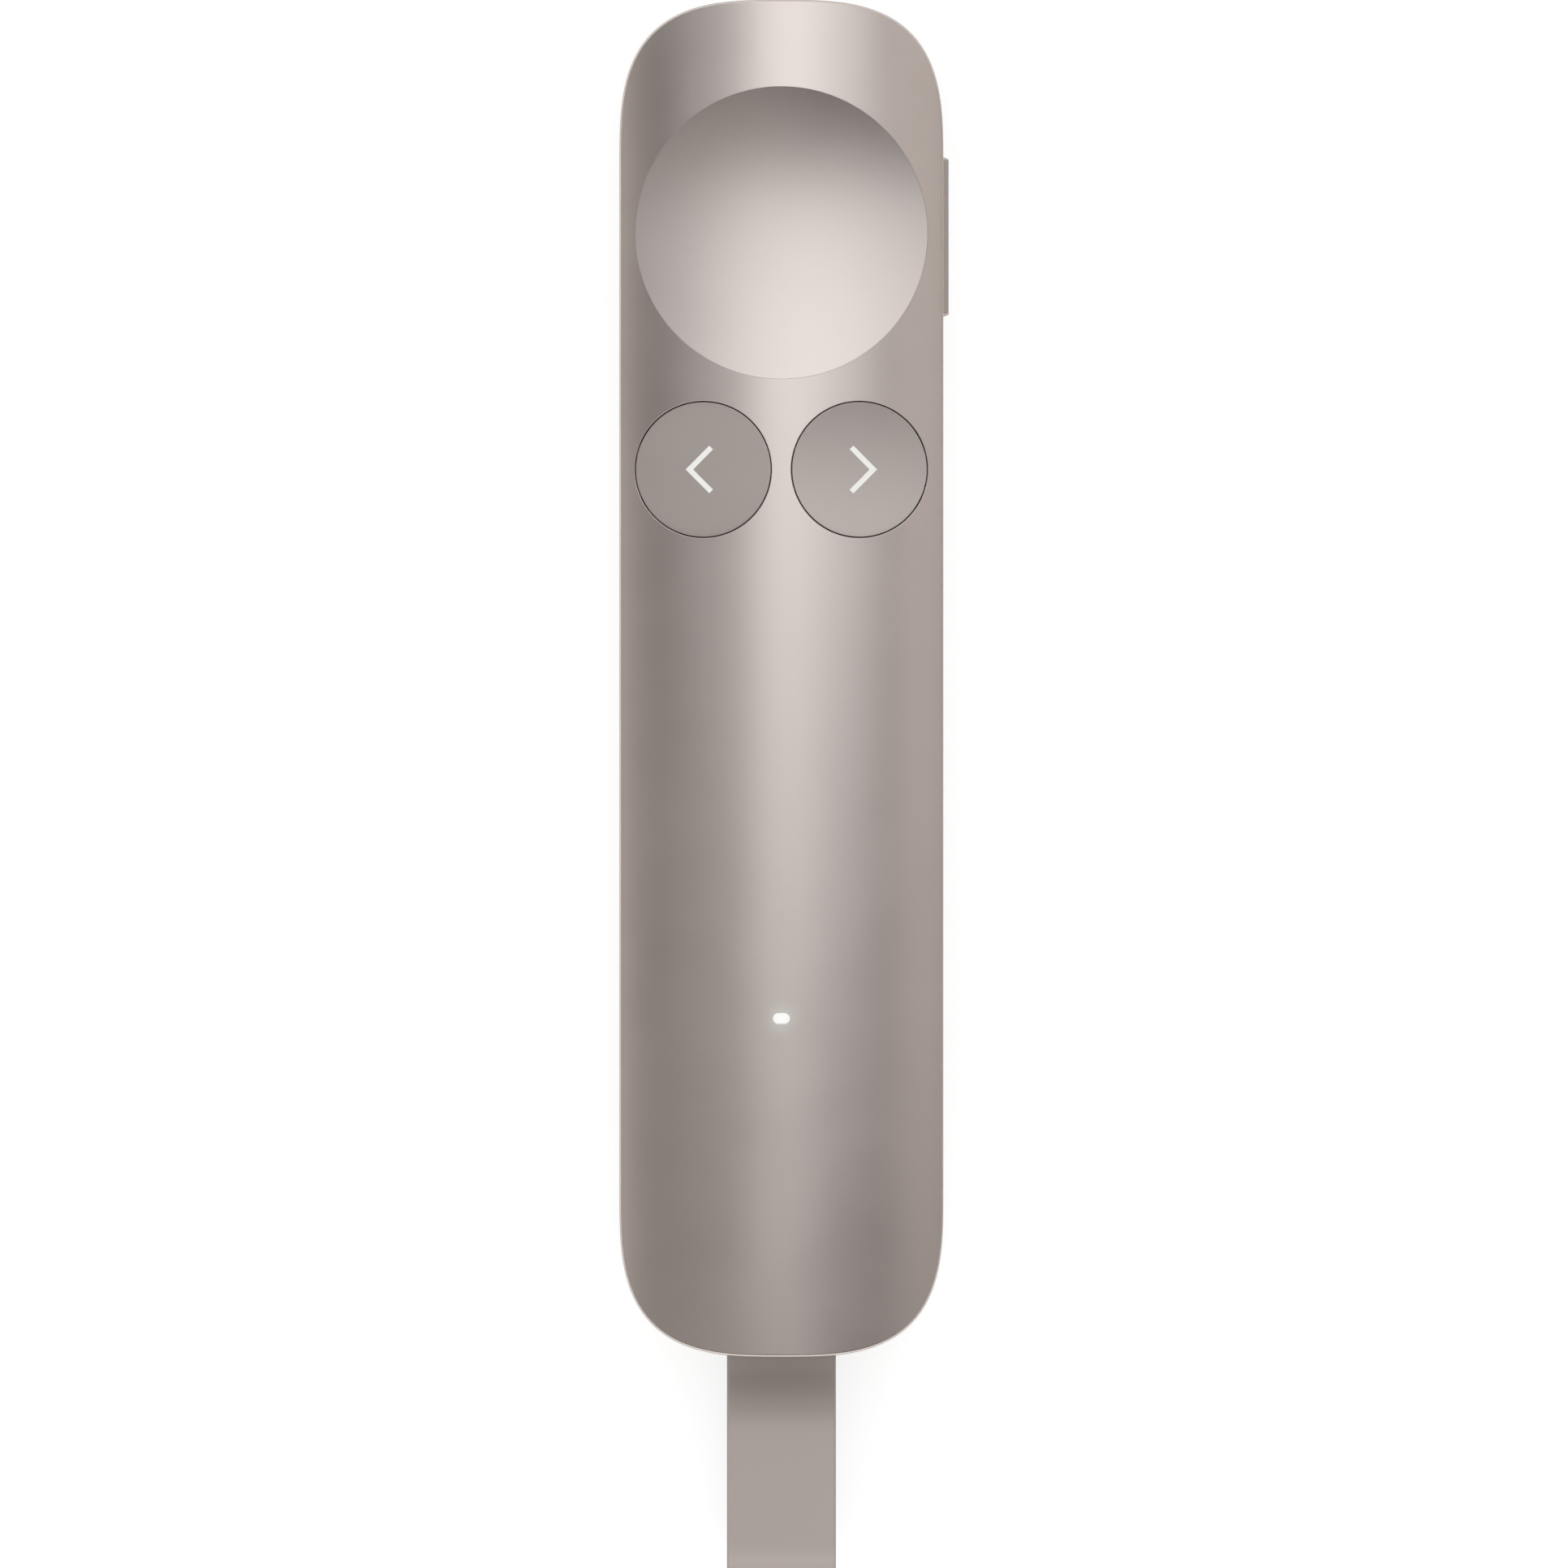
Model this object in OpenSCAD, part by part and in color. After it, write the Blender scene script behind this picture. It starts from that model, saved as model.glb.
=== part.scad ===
// Wireless presentation clicker, lying on its back with the button face up.
// Frame: origin on the flat rest of the back under the body's centre, +X to the side button's edge,
// +Y to the nose with the round dish, +Z out of the button face.

/* [Body] */
// Width of the body across both shells
body_w = 30; // [29.4:0.1:30.6]
// Length of the body from tail to nose
body_len = 125.6; // [125:0.2:130]
// Height of the body above its flat rest
body_h = 13.2; // [13:0.1:14]
// Radius of the crowned front face, seen along the body
crown_r = 60; // [55:1:80]
// Radius of the rounded back, seen along the body
back_r = 60; // [55:1:80]
// Depth of the flat ground into the rounded back
rest_cut = 0.35; // [0.3:0.05:0.5]
// Length of the rounded part of each end
end_reach = 15.1; // [14:0.1:16]
// Squareness of the rounded ends, where two would be an ellipse
end_power = 3.1; // [2.8:0.1:3.4]
// Thickness of both shells at the sides
wall = 1.1; // [1:0.05:1.2]
// Thickness of the front shell under its crown
plate_t = 1.2; // [1.1:0.05:1.3]
// Thickness of the rear shell under its floor
floor_t = 1.1; // [1:0.05:1.2]
// Height of the seam between the shells
seam_z = 4.4; // [4:0.1:4.6]
// Thickness of the rear shell's lip inside the front shell
lip_t = 0.8; // [0.7:0.05:0.9]
// Height of the lip above the seam
lip_rise = 1.2; // [0.8:0.1:1.2]

/* [Pointer dish] */
// Land between the dish and the body's side
dish_land = 1.5; // [1.4:0.05:1.8]
// Land between the dish and the nose
nose_land = 8.05; // [8:0.05:9]
// Depth of the dish under the crown
dish_depth = 0.9; // [0.8:0.05:1]
// Thickness of the dish's cap
dish_t = 1.2; // [1:0.05:1.3]
// Depth of the dish's skirt under the top of the crown
dish_skirt_drop = 2.8; // [2.7:0.05:2.9]
// Thickness of the dish's skirt
dish_skirt_t = 1; // [0.9:0.05:1.2]
// Width of each retaining tab under the front shell
dish_tab_w = 6; // [5:0.5:7]
// Reach of each retaining tab beyond the dish
dish_tab_reach = 1.1; // [0.9:0.05:1.2]

/* [Keys] */
// Land between each round key and the body's side
key_side_land = 1.42; // [1.3:0.01:1.6]
// Web between the two keys
key_web = 1.76; // [1.7:0.02:2.4]
// Land between the dish and the keys, along the body
key_dish_land = 2.05; // [2:0.05:3]
// Radius of the shallow trough across the right key's top
trough_r = 200; // [180:5:260]
// Depth of the keys' rims under the crown
key_flush = 0.02; // [0.01:0.01:0.1]
// Height of each key's underside over the pad under its stem
key_under_up = 0.9; // [0.8:0.05:1]
// Width of the two retaining tabs of a key
key_tab_w = 5; // [4:0.5:6]
// Reach of the retaining tabs beyond the key
key_tab_reach = 0.9; // [0.7:0.05:1]
// Thickness of every retaining tab
tab_t = 0.6; // [0.5:0.05:0.65]
// Diameter of each key's stem
stem_d = 3.2; // [2.8:0.2:3.6]
// Travel of the keys and of the dish
press = 0.35; // [0.25:0.05:0.35]

/* [Chevrons] */
// Height of each chevron across its open end
chevron_h = 4.45; // [4:0.05:4.8]
// Width of the chevron's stroke
chevron_stroke = 0.5; // [0.4:0.05:0.6]
// Depth of the inlay in the key's top
chevron_t = 0.35; // [0.3:0.05:0.4]
// Distance of the chevron's tip from its key's centre
chevron_tip = 1.65; // [1.4:0.05:1.9]

/* [Side button] */
// Length of the side button
side_len = 14.8; // [14:0.1:15.5]
// Height of the side button
side_h = 2.4; // [2.2:0.1:2.5]
// Shift of the side button's centre from the dish's, towards the tail
side_shift = 0.3; // [0:0.1:1]
// Height of the side button's centre above the board
side_up = 0.5; // [0.45:0.05:0.55]
// How far the side button stands out
side_proud = 0.5; // [0.45:0.05:0.7]
// Chamfer at each end of the side button
side_chamfer = 0.35; // [0.2:0.05:0.4]
// Thickness of the side button's inner flange
side_flange_t = 0.6; // [0.5:0.05:0.7]
// Overlap of the flange behind the wall, all round
side_flange_over = 0.5; // [0.4:0.05:0.55]
// Travel of the side button
side_press = 0.3; // [0.2:0.05:0.3]
// Length of the nub behind the side button
side_nub = 0.5; // [0.4:0.05:0.6]
// How far the side switch's own button stands out
side_switch_rise = 0.45; // [0.4:0.05:0.5]
// Height of the side switch's button above the board
side_switch_up = 0.9; // [0.8:0.05:1]
// Radius of the side switch's button
side_button_r = 0.55; // [0.45:0.05:0.6]
// Length of the side switch along the body
side_switch_w = 4; // [3.6:0.1:4.4]
// Height of the side switch
side_switch_h = 1.6; // [1.5:0.1:1.8]
// Depth of the side switch into the body
side_switch_d = 2.4; // [2:0.1:2.6]

/* [Status light] */
// Length of the light's window
light_w = 1.6; // [1.4:0.1:1.8]
// Width of the light's window
light_h = 1; // [0.9:0.05:1.1]
// Distance of the light from the tail
light_from_tail = 31.35; // [31:0.05:33]
// Width of the light pipe's collar beyond its window
light_collar = 0.6; // [0.5:0.05:0.7]

/* [Board] */
// Thickness of the main board
board_t = 0.8; // [0.8:0.05:1]
// Gap between the main board and the shells' walls
board_inset = 2.6; // [2.5:0.1:3]
// Height of a press switch's body
switch_h = 0.8; // [0.7:0.05:0.8]
// Side of a press switch's square body
switch_w = 4.4; // [4:0.1:4.8]
// Diameter of a press switch's round button
switch_button_d = 2; // [1.8:0.1:2.2]
// How far a press switch's button stands out of its body
switch_button_rise = 0.5; // [0.45:0.05:0.5]
// Depth of the stems' ends under the top of the crown
pad_drop = 3.8; // [3.75:0.05:3.9]
// Thickness of the pad between a stem and its switch
pad_t = 0.5; // [0.45:0.05:0.5]
// How deep a switch's button rests in its well
button_sink = 0.05; // [0.04:0.01:0.06]
// Side of the radio chip
radio_w = 5; // [4:0.5:6]
// Thickness of the chips
chip_t = 0.9; // [0.7:0.05:1]
// Width of the radio's shield
shield_w = 12; // [10:0.5:14]
// Length of the radio's shield
shield_len = 10; // [9:0.5:11]
// Height of the radio's shield
shield_h = 1.6; // [1.4:0.1:1.8]
// Thickness of the shield's sheet
shield_t = 0.2; // [0.15:0.05:0.25]
// Length of the chip antenna
antenna_len = 5.5; // [4:0.5:6]
// Width of the chip antenna
antenna_w = 2; // [1.6:0.1:2.2]
// Height of the chip antenna
antenna_h = 1.2; // [1:0.1:1.4]
// Distance of the antenna's middle from the board's side
antenna_in = 5.9; // [5.4:0.1:6.4]
// Side of the motion sensor and of the charge chip
sensor_w = 3; // [2.4:0.1:3.4]
// Gap between the dish's switch and the motion sensor
sensor_gap = 2.3; // [1.5:0.1:3]
// Length of the status diode
led_w = 1.6; // [1.4:0.1:1.8]
// Width of the status diode
led_d = 0.8; // [0.7:0.05:0.9]
// Height of the status diode
led_t = 0.6; // [0.5:0.05:0.7]
// Radius of the vibration motor
motor_r = 4; // [3.5:0.1:4.5]
// Height of the vibration motor
motor_h = 2.6; // [2.2:0.1:3]
// How far the motor's pad is drawn in from its edge
motor_pad_inset = 1; // [0.8:0.1:1.4]

/* [Inner frame] */
// Width of the inner frame's rails
rail_w = 1.2; // [1:0.1:1.5]
// Gap between the rails and the rounded floor
rail_gap = 0.3; // [0.25:0.05:0.5]
// Width of each cross rib
rib_w = 1.6; // [1.4:0.1:2]
// How far the ribs' feet end inside the flat of the floor
foot_in = 1; // [0.8:0.1:1.5]
// Gap between the frame and the rear shell's lip
frame_gap = 0.36; // [0.3:0.02:0.4]
// Thickness of the ears that the screws clamp
ear_t = 1.2; // [1:0.1:1.3]
// Side of each square ear
ear_w = 5; // [4.6:0.1:5.2]

/* [Screws] */
// Diameter of the screws' thread
screw_d = 1.4; // [1.3:0.05:1.5]
// Diameter of the screws' heads
screw_head_d = 2.6; // [2.4:0.1:2.8]
// Height of the screws' heads
screw_head_h = 0.6; // [0.5:0.05:0.7]
// Depth of the thread in its boss
screw_bite = 2.6; // [2:0.1:2.8]
// Diameter of the bosses under the front shell
boss_d = 3.6; // [3.2:0.1:3.8]
// Distance of the side screws from the rails
screw_in = 2.08; // [2:0.02:2.2]
// Distance of the first pair of screws past the charging port
tail_screw_past = 2.8; // [2.6:0.1:3.2]
// Distance of the second pair of screws from the keys
mid_screw_past = 9.15; // [9:0.05:9.6]
// Distance of the single screw from the nose
nose_screw_in = 4.6; // [4.5:0.05:4.8]
// Gap between a thread and its hole
thread_gap = 0.025; // [0.02:0.005:0.03]

/* [Battery] */
// Gap between the battery cell and the rails
battery_side_gap = 2; // [1.5:0.1:3]
// Gap between the battery cell and the board
battery_top_gap = 0.7; // [0.6:0.05:1]
// Gap between the battery cell's edges and the rounded floor
battery_floor_gap = 0.12; // [0.1:0.01:0.2]
// Diameter of each battery wire
wire_d = 0.9; // [0.8:0.05:1]
// Distance of the cell's ends from both pairs of screws
battery_in = 4; // [3.5:0.1:4.2]
// Width of the cell's guard board
guard_w = 9.5; // [8:0.5:12]
// Thickness of the cell's guard board
guard_t = 0.8; // [0.6:0.1:1]
// Half height of the guard board
guard_half = 1; // [0.8:0.1:1.4]
// Width of the battery's connector
connector_w = 6; // [5:0.5:7]
// Depth of the battery's connector along the body
connector_d = 3; // [2.6:0.1:3.2]
// Distance of the connector past the second pair of screws
connector_in = 1; // [0.8:0.1:1.2]
// How far the foam pad is drawn in from the cell's ends
battery_pad_inset = 3; // [2:0.5:5]

/* [Charging port] */
// Outer width of the port's metal shell
port_w = 8.94; // [8.8:0.02:9]
// Outer height of the port's metal shell
port_h = 3.16; // [3.1:0.02:3.2]
// Length of the port
port_len = 7.4; // [7:0.1:7.6]
// Thickness of the port's metal shell
port_t = 0.3; // [0.25:0.01:0.3]
// Width of the port's tongue
tongue_w = 6.6; // [6.4:0.1:6.7]
// Thickness of the port's tongue
tongue_t = 0.7; // [0.6:0.05:0.75]
// Length of the port's tongue in front of its base
tongue_len = 5.2; // [4.8:0.1:5.3]
// Thickness of the tongue's base
tongue_base = 0.7; // [0.6:0.05:0.8]

/* [Receiver] */
// Width of the receiver
receiver_w = 13; // [12.6:0.1:13.2]
// Gap between the receiver's sleeve and the floor
sleeve_gap = 0.11; // [0.1:0.01:0.2]
// Length of the receiver's body
receiver_len = 12.9; // [12.5:0.1:13]
// Radius of the receiver's long edges
receiver_r = 2; // [1.6:0.1:2.2]
// Wall thickness of the receiver
receiver_t = 0.9; // [0.8:0.05:1]
// How far the receiver lies inside the tail
receiver_recess = 0.4; // [0.3:0.05:0.5]
// Length of the receiver's plug
plug_len = 6.2; // [6:0.05:6.3]
// Wall of the sleeve that guides the receiver
sleeve_t = 0.45; // [0.4:0.01:0.5]
// Gap around the receiver in the tail's opening
bay_gap = 0.12; // [0.1:0.01:0.15]
// Wall thickness of the plug's metal shell
plug_t = 0.3; // [0.25:0.01:0.3]
// Travel that frees the receiver from the body
receiver_travel = 24; // [22:0.5:30]

/* [Strap] */
// Width of the strap
strap_w = 10.1; // [9.6:0.1:10.3]
// Thickness of the strap's band
strap_t = 1.2; // [1:0.05:1.2]
// Height of the loop
loop_h = 7.2; // [7:0.1:7.6]
// Length of the strap beyond the tail
strap_out = 20.8; // [20:0.2:26]
// Length over which the two layers part from the root
strap_spread = 6.5; // [6:0.5:7]
// Diameter of the pin through the strap's root
pin_d = 1.2; // [1.1:0.05:1.3]
// Distance of the pin from the receiver's outer end
pin_in = 2.1; // [1.8:0.1:2.2]
// Length of the strap's root past its pin
root_past = 1.6; // [1.4:0.1:1.8]
// Length of the strap's flat neck outside the receiver
neck_len = 1; // [0.8:0.1:1.2]

/* [Fits] */
// Radial gap of the dish in its bore
dish_gap = 0.05; // [0.04:0.01:0.06]
// Radial gap of a key in its bore
key_gap = 0.09; // [0.07:0.01:0.1]
// Gap of a sliding fit
slide_gap = 0.06; // [0.05:0.01:0.07]
// Gap between parts that are only near each other
loose_gap = 0.1; // [0.08:0.01:0.12]

/* [Hidden] */
over = 1;
half_w = body_w / 2;
half_len = body_len / 2;
end_start = half_len - end_reach;
outer_step = 3.75;
inner_step = 7.5;
round_fn = 96;
drum_fn = 360;
nose_y = half_len;
tail_y = -half_len;
dish_r = half_w - dish_land;
bore_r = dish_r + dish_gap;
key_bore_r = (half_w - key_side_land - key_web / 2) / 2;
key_x = key_bore_r + key_web / 2;
key_r = key_bore_r - key_gap;
dish_y = nose_y - nose_land - dish_r;
key_y = dish_y - dish_r - key_dish_land - key_bore_r;
side_y = dish_y - side_shift;
light_y = tail_y + light_from_tail;
lip_inset = wall + slide_gap;
rear_inset = lip_inset + lip_t;

// The heights of the crowned top and of the rounded floor, off the centre line.
function floor_z(x) = back_r - rest_cut - sqrt(pow(back_r - floor_t - slide_gap, 2) - x * x);
function crown_z(x) = body_h - crown_r + sqrt(crown_r * crown_r - x * x);
rim_drop = crown_z(0) - crown_z(dish_r);
bowl_r = dish_r * dish_r / (2 * dish_depth) + dish_depth / 2;
side_drop = rim_drop - dish_depth;
cross_r = dish_r * dish_r / (2 * side_drop) + side_drop / 2;
dish_low_z = body_h - dish_depth;
dish_skirt_z = body_h - dish_skirt_drop;

// The stack under the dish and the keys: pad, switch button, switch and board.
pad_top = body_h - pad_drop;
button_top = pad_top - pad_t;
switch_top = button_top - switch_button_rise;
board_top = switch_top - switch_h;
board_z = board_top - board_t;
button_hole = press + 2 * button_sink;
button_r = switch_button_d / 2;
side_z = board_top + side_up;

// A key's flat top lies along the chord of the crown across its bore.
key_out_z = crown_z(key_x + key_bore_r);
key_in_z = crown_z(key_x - key_bore_r);
key_tilt = atan((key_in_z - key_out_z) / (2 * key_bore_r));
key_top_z = (key_out_z + key_in_z) / 2 - key_flush;
key_under_z = pad_top + key_under_up;
tab_top_z = crown_z(key_x + key_tab_w / 2) - plate_t - loose_gap;
trough_reach = key_r + 4 * key_gap;
trough_rise = trough_r - sqrt(trough_r * trough_r - trough_reach * trough_reach);

// The tail: the port hangs under the board and the receiver lines up with it.
port_z = board_z - port_h / 2;
receiver_h = 2 * (port_z - floor_t - sleeve_gap - sleeve_t - slide_gap);
port_in_w = port_w - 2 * port_t;
port_in_h = port_h - 2 * port_t;
plug_w = port_in_w - 2 * slide_gap;
plug_h = port_in_h - 2 * slide_gap;
receiver_out_y = tail_y + receiver_recess;
receiver_in_y = receiver_out_y + receiver_len;
port_y = receiver_in_y + loose_gap;
port_back_y = port_y + port_len;
board_low_y = port_y;
sleeve_w = receiver_w + 2 * slide_gap;
sleeve_h = receiver_h + 2 * slide_gap;
frame_low_y = receiver_in_y + rib_w;
strap_end_y = tail_y - strap_out;
root_half = strap_t;
frame_inset = rear_inset + frame_gap;
rail_in_x = half_w - frame_inset - rail_w;
frame_z = floor_z(half_w - frame_inset) + rail_gap;
flat_half = sqrt(pow(back_r - floor_t - slide_gap, 2) - pow(back_r - rest_cut - floor_t, 2));
foot_half = flat_half - foot_in;
port_base_y = port_back_y - port_t - tongue_base;
pin_y = receiver_out_y + pin_in;
root_y = pin_y + root_past;

// The screws stand in bosses beside the battery and in front of the dish.
screw_x = rail_in_x - screw_in;
tail_screw_y = port_back_y + tail_screw_past;
mid_screw_y = key_y - key_bore_r - mid_screw_past;
nose_screw_y = nose_y - nose_screw_in;
screw_spots = [[-screw_x, tail_screw_y], [screw_x, tail_screw_y], [-screw_x, mid_screw_y],
  [screw_x, mid_screw_y], [0, nose_screw_y]];
screw_hole_r = screw_d / 2 + loose_gap;
battery_low_y = tail_screw_y + battery_in;
battery_high_y = mid_screw_y - battery_in;
battery_w = 2 * (rail_in_x - battery_side_gap);
battery_z = floor_z(battery_w / 2) + battery_floor_gap;
battery_t = board_z - battery_top_gap - battery_z;
antenna_x = half_w - board_inset - antenna_in;
sensor_x = (switch_w + sensor_w) / 2 + sensor_gap;

// Shared outlines

// One quarter-turn pair of a rounded end; side is 1 at the nose and -1 at the tail.
function end_points(inset, step, side) = [
  for (t = [0:step:180])
    let (c = cos(t), s = sin(t))
    [side * sign(c) * (half_w - inset) * pow(abs(c), 2 / end_power),
      side * (end_start + (end_reach - inset) * pow(abs(s), 2 / end_power))]
];

// The body's outline seen from above, drawn in by the inset.
module outline(inset, step) {
  polygon(concat(end_points(inset, step, 1), end_points(inset, step, -1)));
}

// The drum whose top is the crown, drawn in by the inset.
module crown_drum(inset) {
  translate([0, 0, body_h - crown_r])
    rotate([90, 0, 0])
      cylinder(r = crown_r - inset, h = body_len + 2 * over, center = true, $fn = drum_fn);
}

// The drum whose underside is the rounded back, drawn in by the inset.
module back_drum(inset) {
  translate([0, 0, back_r - rest_cut])
    rotate([90, 0, 0])
      cylinder(r = back_r - inset, h = body_len + 2 * over, center = true, $fn = drum_fn);
}

// The drum whose waisted side is the dish's face, drawn in by the inset: hollow along the body,
// and falling away with the crown across it.
module dish_drum(inset) {
  waist = dish_r + 2 * dish_tab_reach;
  translate([0, dish_y, dish_low_z - cross_r])
    rotate([90, 0, 0])
      rotate_extrude($fn = drum_fn)
        difference() {
          translate([0, -waist])
            square([cross_r + 2 * plate_t, 2 * waist]);
          translate([cross_r + bowl_r, 0])
            circle(r = bowl_r + inset, $fn = drum_fn);
        }
}

// A flat oval with half-round ends.
module oval(w, h) {
  square([w - h, h], center = true);
  translate([(w - h) / 2, 0])
    circle(d = h, $fn = round_fn);
  translate([(h - w) / 2, 0])
    circle(d = h, $fn = round_fn);
}

// A rectangle with round corners.
module round_box(w, h, r) {
  square([w - 2 * r, h], center = true);
  square([w, h - 2 * r], center = true);
  for (sx = [-1, 1])
    for (sz = [-1, 1])
      translate([sx * (w / 2 - r), sz * (h / 2 - r)])
        circle(r = r, $fn = round_fn);
}

// Stands a drawing up in the XZ plane, from y_low to y_high, with its centre at height z.
module along_y(y_low, y_high, z) {
  translate([0, y_high, z])
    rotate([90, 0, 0])
      linear_extrude(y_high - y_low)
        children();
}

// A block given by its low and high corners.
module block(low, high) {
  translate(low)
    cube(high - low);
}

// A round post on the vertical through the spot, between two heights.
module post(spot, r, z_low, z_high) {
  translate([spot[0], spot[1], z_low])
    cylinder(r = r, h = z_high - z_low, $fn = round_fn);
}

// Shells and frame

module front_shell() {
  color([0.62, 0.58, 0.55]) {
    difference() {
      union() {
        difference() {
          intersection() {
            translate([0, 0, seam_z])
              linear_extrude(body_h)
                outline(0, outer_step);
            crown_drum(0);
          }
          intersection() {
            translate([0, 0, seam_z - over])
              linear_extrude(body_h)
                outline(wall, inner_step);
            crown_drum(plate_t);
          }
        }
        for (spot = screw_spots)
          post(spot, boss_d / 2, board_top, crown_z(spot[0]) - plate_t / 2);
      }
      post([0, dish_y], bore_r, dish_skirt_z - press - loose_gap, body_h + over);
      for (side = [-1, 1])
        post([side * key_x, key_y], key_bore_r, key_under_z - press, body_h + over);
      translate([0, light_y, board_top])
        linear_extrude(body_h)
          oval(light_w + 2 * slide_gap, light_h + 2 * slide_gap);
      side_slot();
      bay_opening();
      for (spot = screw_spots)
        post(spot, screw_d / 2 + thread_gap, board_top - over, board_top + screw_bite + thread_gap);
    }
  }
}

// The slot in the side wall that the side button comes through.
module side_slot() {
  block([half_w - wall - over, side_y - side_len / 2 - slide_gap, side_z - side_h / 2 - slide_gap],
    [half_w + over, side_y + side_len / 2 + slide_gap, side_z + side_h / 2 + slide_gap]);
}

// The opening in the tail that the receiver goes through, stepped for the sleeve behind it.
module bay_opening() {
  along_y(tail_y - over, tail_y + wall + over, port_z)
    round_box(receiver_w + 2 * bay_gap, receiver_h + 2 * bay_gap, receiver_r + bay_gap);
  along_y(tail_y + wall, tail_y + wall + rear_inset, port_z)
    round_box(sleeve_w + 2 * sleeve_t + 2 * slide_gap, sleeve_h + 2 * sleeve_t + 2 * slide_gap,
      receiver_r + sleeve_t);
}

module rear_shell() {
  color([0.56, 0.53, 0.5]) {
    difference() {
      intersection() {
        union() {
          linear_extrude(seam_z)
            outline(0, outer_step);
          linear_extrude(seam_z + lip_rise)
            outline(lip_inset, inner_step);
        }
        back_drum(0);
      }
      intersection() {
        translate([0, 0, floor_t])
          linear_extrude(body_h)
            outline(rear_inset, inner_step);
        back_drum(floor_t + slide_gap);
      }
      bay_opening();
    }
  }
}

// A rib across the frame with a foot on the floor, between two places along the body.
module cross_rib(y) {
  block([-foot_half, y - rib_w / 2, floor_t], [foot_half, y + rib_w / 2, board_z]);
  block([-half_w + rear_inset + rail_w, y - rib_w / 2, board_z - 2 * ear_t],
    [half_w - rear_inset - rail_w, y + rib_w / 2, board_z]);
}

module inner_frame() {
  color([0.2, 0.2, 0.21]) {
    difference() {
      intersection() {
        union() {
          difference() {
            translate([0, 0, frame_z])
              linear_extrude(board_z - frame_z)
                outline(frame_inset, inner_step);
            translate([0, 0, frame_z - over])
              linear_extrude(board_z)
                outline(frame_inset + rail_w, inner_step);
          }
          for (spot = screw_spots)
            block([spot[0] - ear_w / 2, spot[1] - ear_w / 2, board_z - ear_t],
              [spot[0] + ear_w / 2, spot[1] + ear_w / 2, board_z]);
          for (y = [tail_screw_y, mid_screw_y + ear_w + rib_w, key_y + 2 * key_bore_r, dish_y + dish_r])
            cross_rib(y);
        }
        translate([0, 0, floor_t])
          linear_extrude(board_z)
            outline(frame_inset, inner_step);
        block([-half_w, frame_low_y, 0], [half_w, half_len, body_h]);
      }
      for (spot = screw_spots) {
        post(spot, screw_hole_r, board_z - ear_t - over, board_z + over);
        post(spot, screw_head_d / 2 + loose_gap, 0, board_z - ear_t);
      }
    }
  }
}

module housing_screws() {
  color([0.5, 0.5, 0.52])
    for (spot = screw_spots) {
      post(spot, screw_head_d / 2, board_z - ear_t - screw_head_h, board_z - ear_t);
      post(spot, screw_d / 2, board_z - ear_t - screw_head_h / 2, board_top + screw_bite);
    }
}

module bay_sleeve() {
  color([0.14, 0.14, 0.15])
    along_y(tail_y + wall + slide_gap, receiver_in_y, port_z)
      difference() {
        round_box(sleeve_w + 2 * sleeve_t, sleeve_h + 2 * sleeve_t, receiver_r + slide_gap + sleeve_t);
        round_box(sleeve_w, sleeve_h, receiver_r + slide_gap);
      }
}

// Pointer dish

module pointer_dish() {
  color([0.64, 0.6, 0.57])
    intersection() {
      union() {
        difference() {
          post([0, dish_y], dish_r, dish_skirt_z, body_h + over);
          dish_drum(dish_t);
        }
        difference() {
          post([0, dish_y], dish_r, dish_skirt_z, body_h + over);
          post([0, dish_y], dish_r - dish_skirt_t, dish_skirt_z - over, body_h + 2 * over);
        }
        for (side = [-1, 1])
          dish_tab(side);
        post([0, dish_y], stem_d / 2, pad_top, dish_low_z - dish_t / 2);
      }
      dish_drum(0);
    }
}

// A tab at the front or back of the dish that keeps it under the front shell.
module dish_tab(side) {
  y_near = dish_y + side * (dish_r - dish_skirt_t);
  y_far = dish_y + side * (dish_r + dish_tab_reach);
  top = crown_z(dish_tab_w / 2) - plate_t - loose_gap;
  block([-dish_tab_w / 2, min(y_near, y_far), top - tab_t], [dish_tab_w / 2, max(y_near, y_far), top]);
}

module dish_pad() {
  color([0.3, 0.3, 0.3])
    post([0, dish_y], stem_d / 2, button_top, pad_top);
}

module dish_switch_button() {
  switch_button([0, dish_y]);
}

module dish_switch() {
  switch_body([0, dish_y]);
}

// A press switch's round button, which reaches a little way into its body.
module switch_button(spot) {
  color([0.15, 0.15, 0.15])
    post(spot, button_r, switch_top - button_sink, button_top);
}

// A press switch's body on the board, with the round well that its button goes into.
module switch_body(spot) {
  color([0.72, 0.72, 0.74])
    difference() {
      block([spot[0] - switch_w / 2, spot[1] - switch_w / 2, board_top],
        [spot[0] + switch_w / 2, spot[1] + switch_w / 2, switch_top]);
      post(spot, button_r + slide_gap, switch_top - button_hole, switch_top + over);
    }
}

// Keys

// A key's round body with its stem and tabs; side is -1 for the left key and 1 for the right.
module key_blank(side) {
  spot = [side * key_x, key_y];
  union() {
    post(spot, key_r, key_under_z, body_h + over);
    post(spot, stem_d / 2, pad_top, key_under_z + tab_t);
    block([spot[0] - key_tab_w / 2, key_y - key_r - key_tab_reach, key_under_z],
      [spot[0] + key_tab_w / 2, key_y + key_r + key_tab_reach, min(key_under_z + tab_t, tab_top_z)]);
  }
}

// Lays its children on the tilted plane through a key's top, with z zero on the plane.
module on_key_top(side) {
  translate([side * key_x, key_y, key_top_z])
    rotate([0, side * key_tilt, 0])
      children();
}

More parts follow.
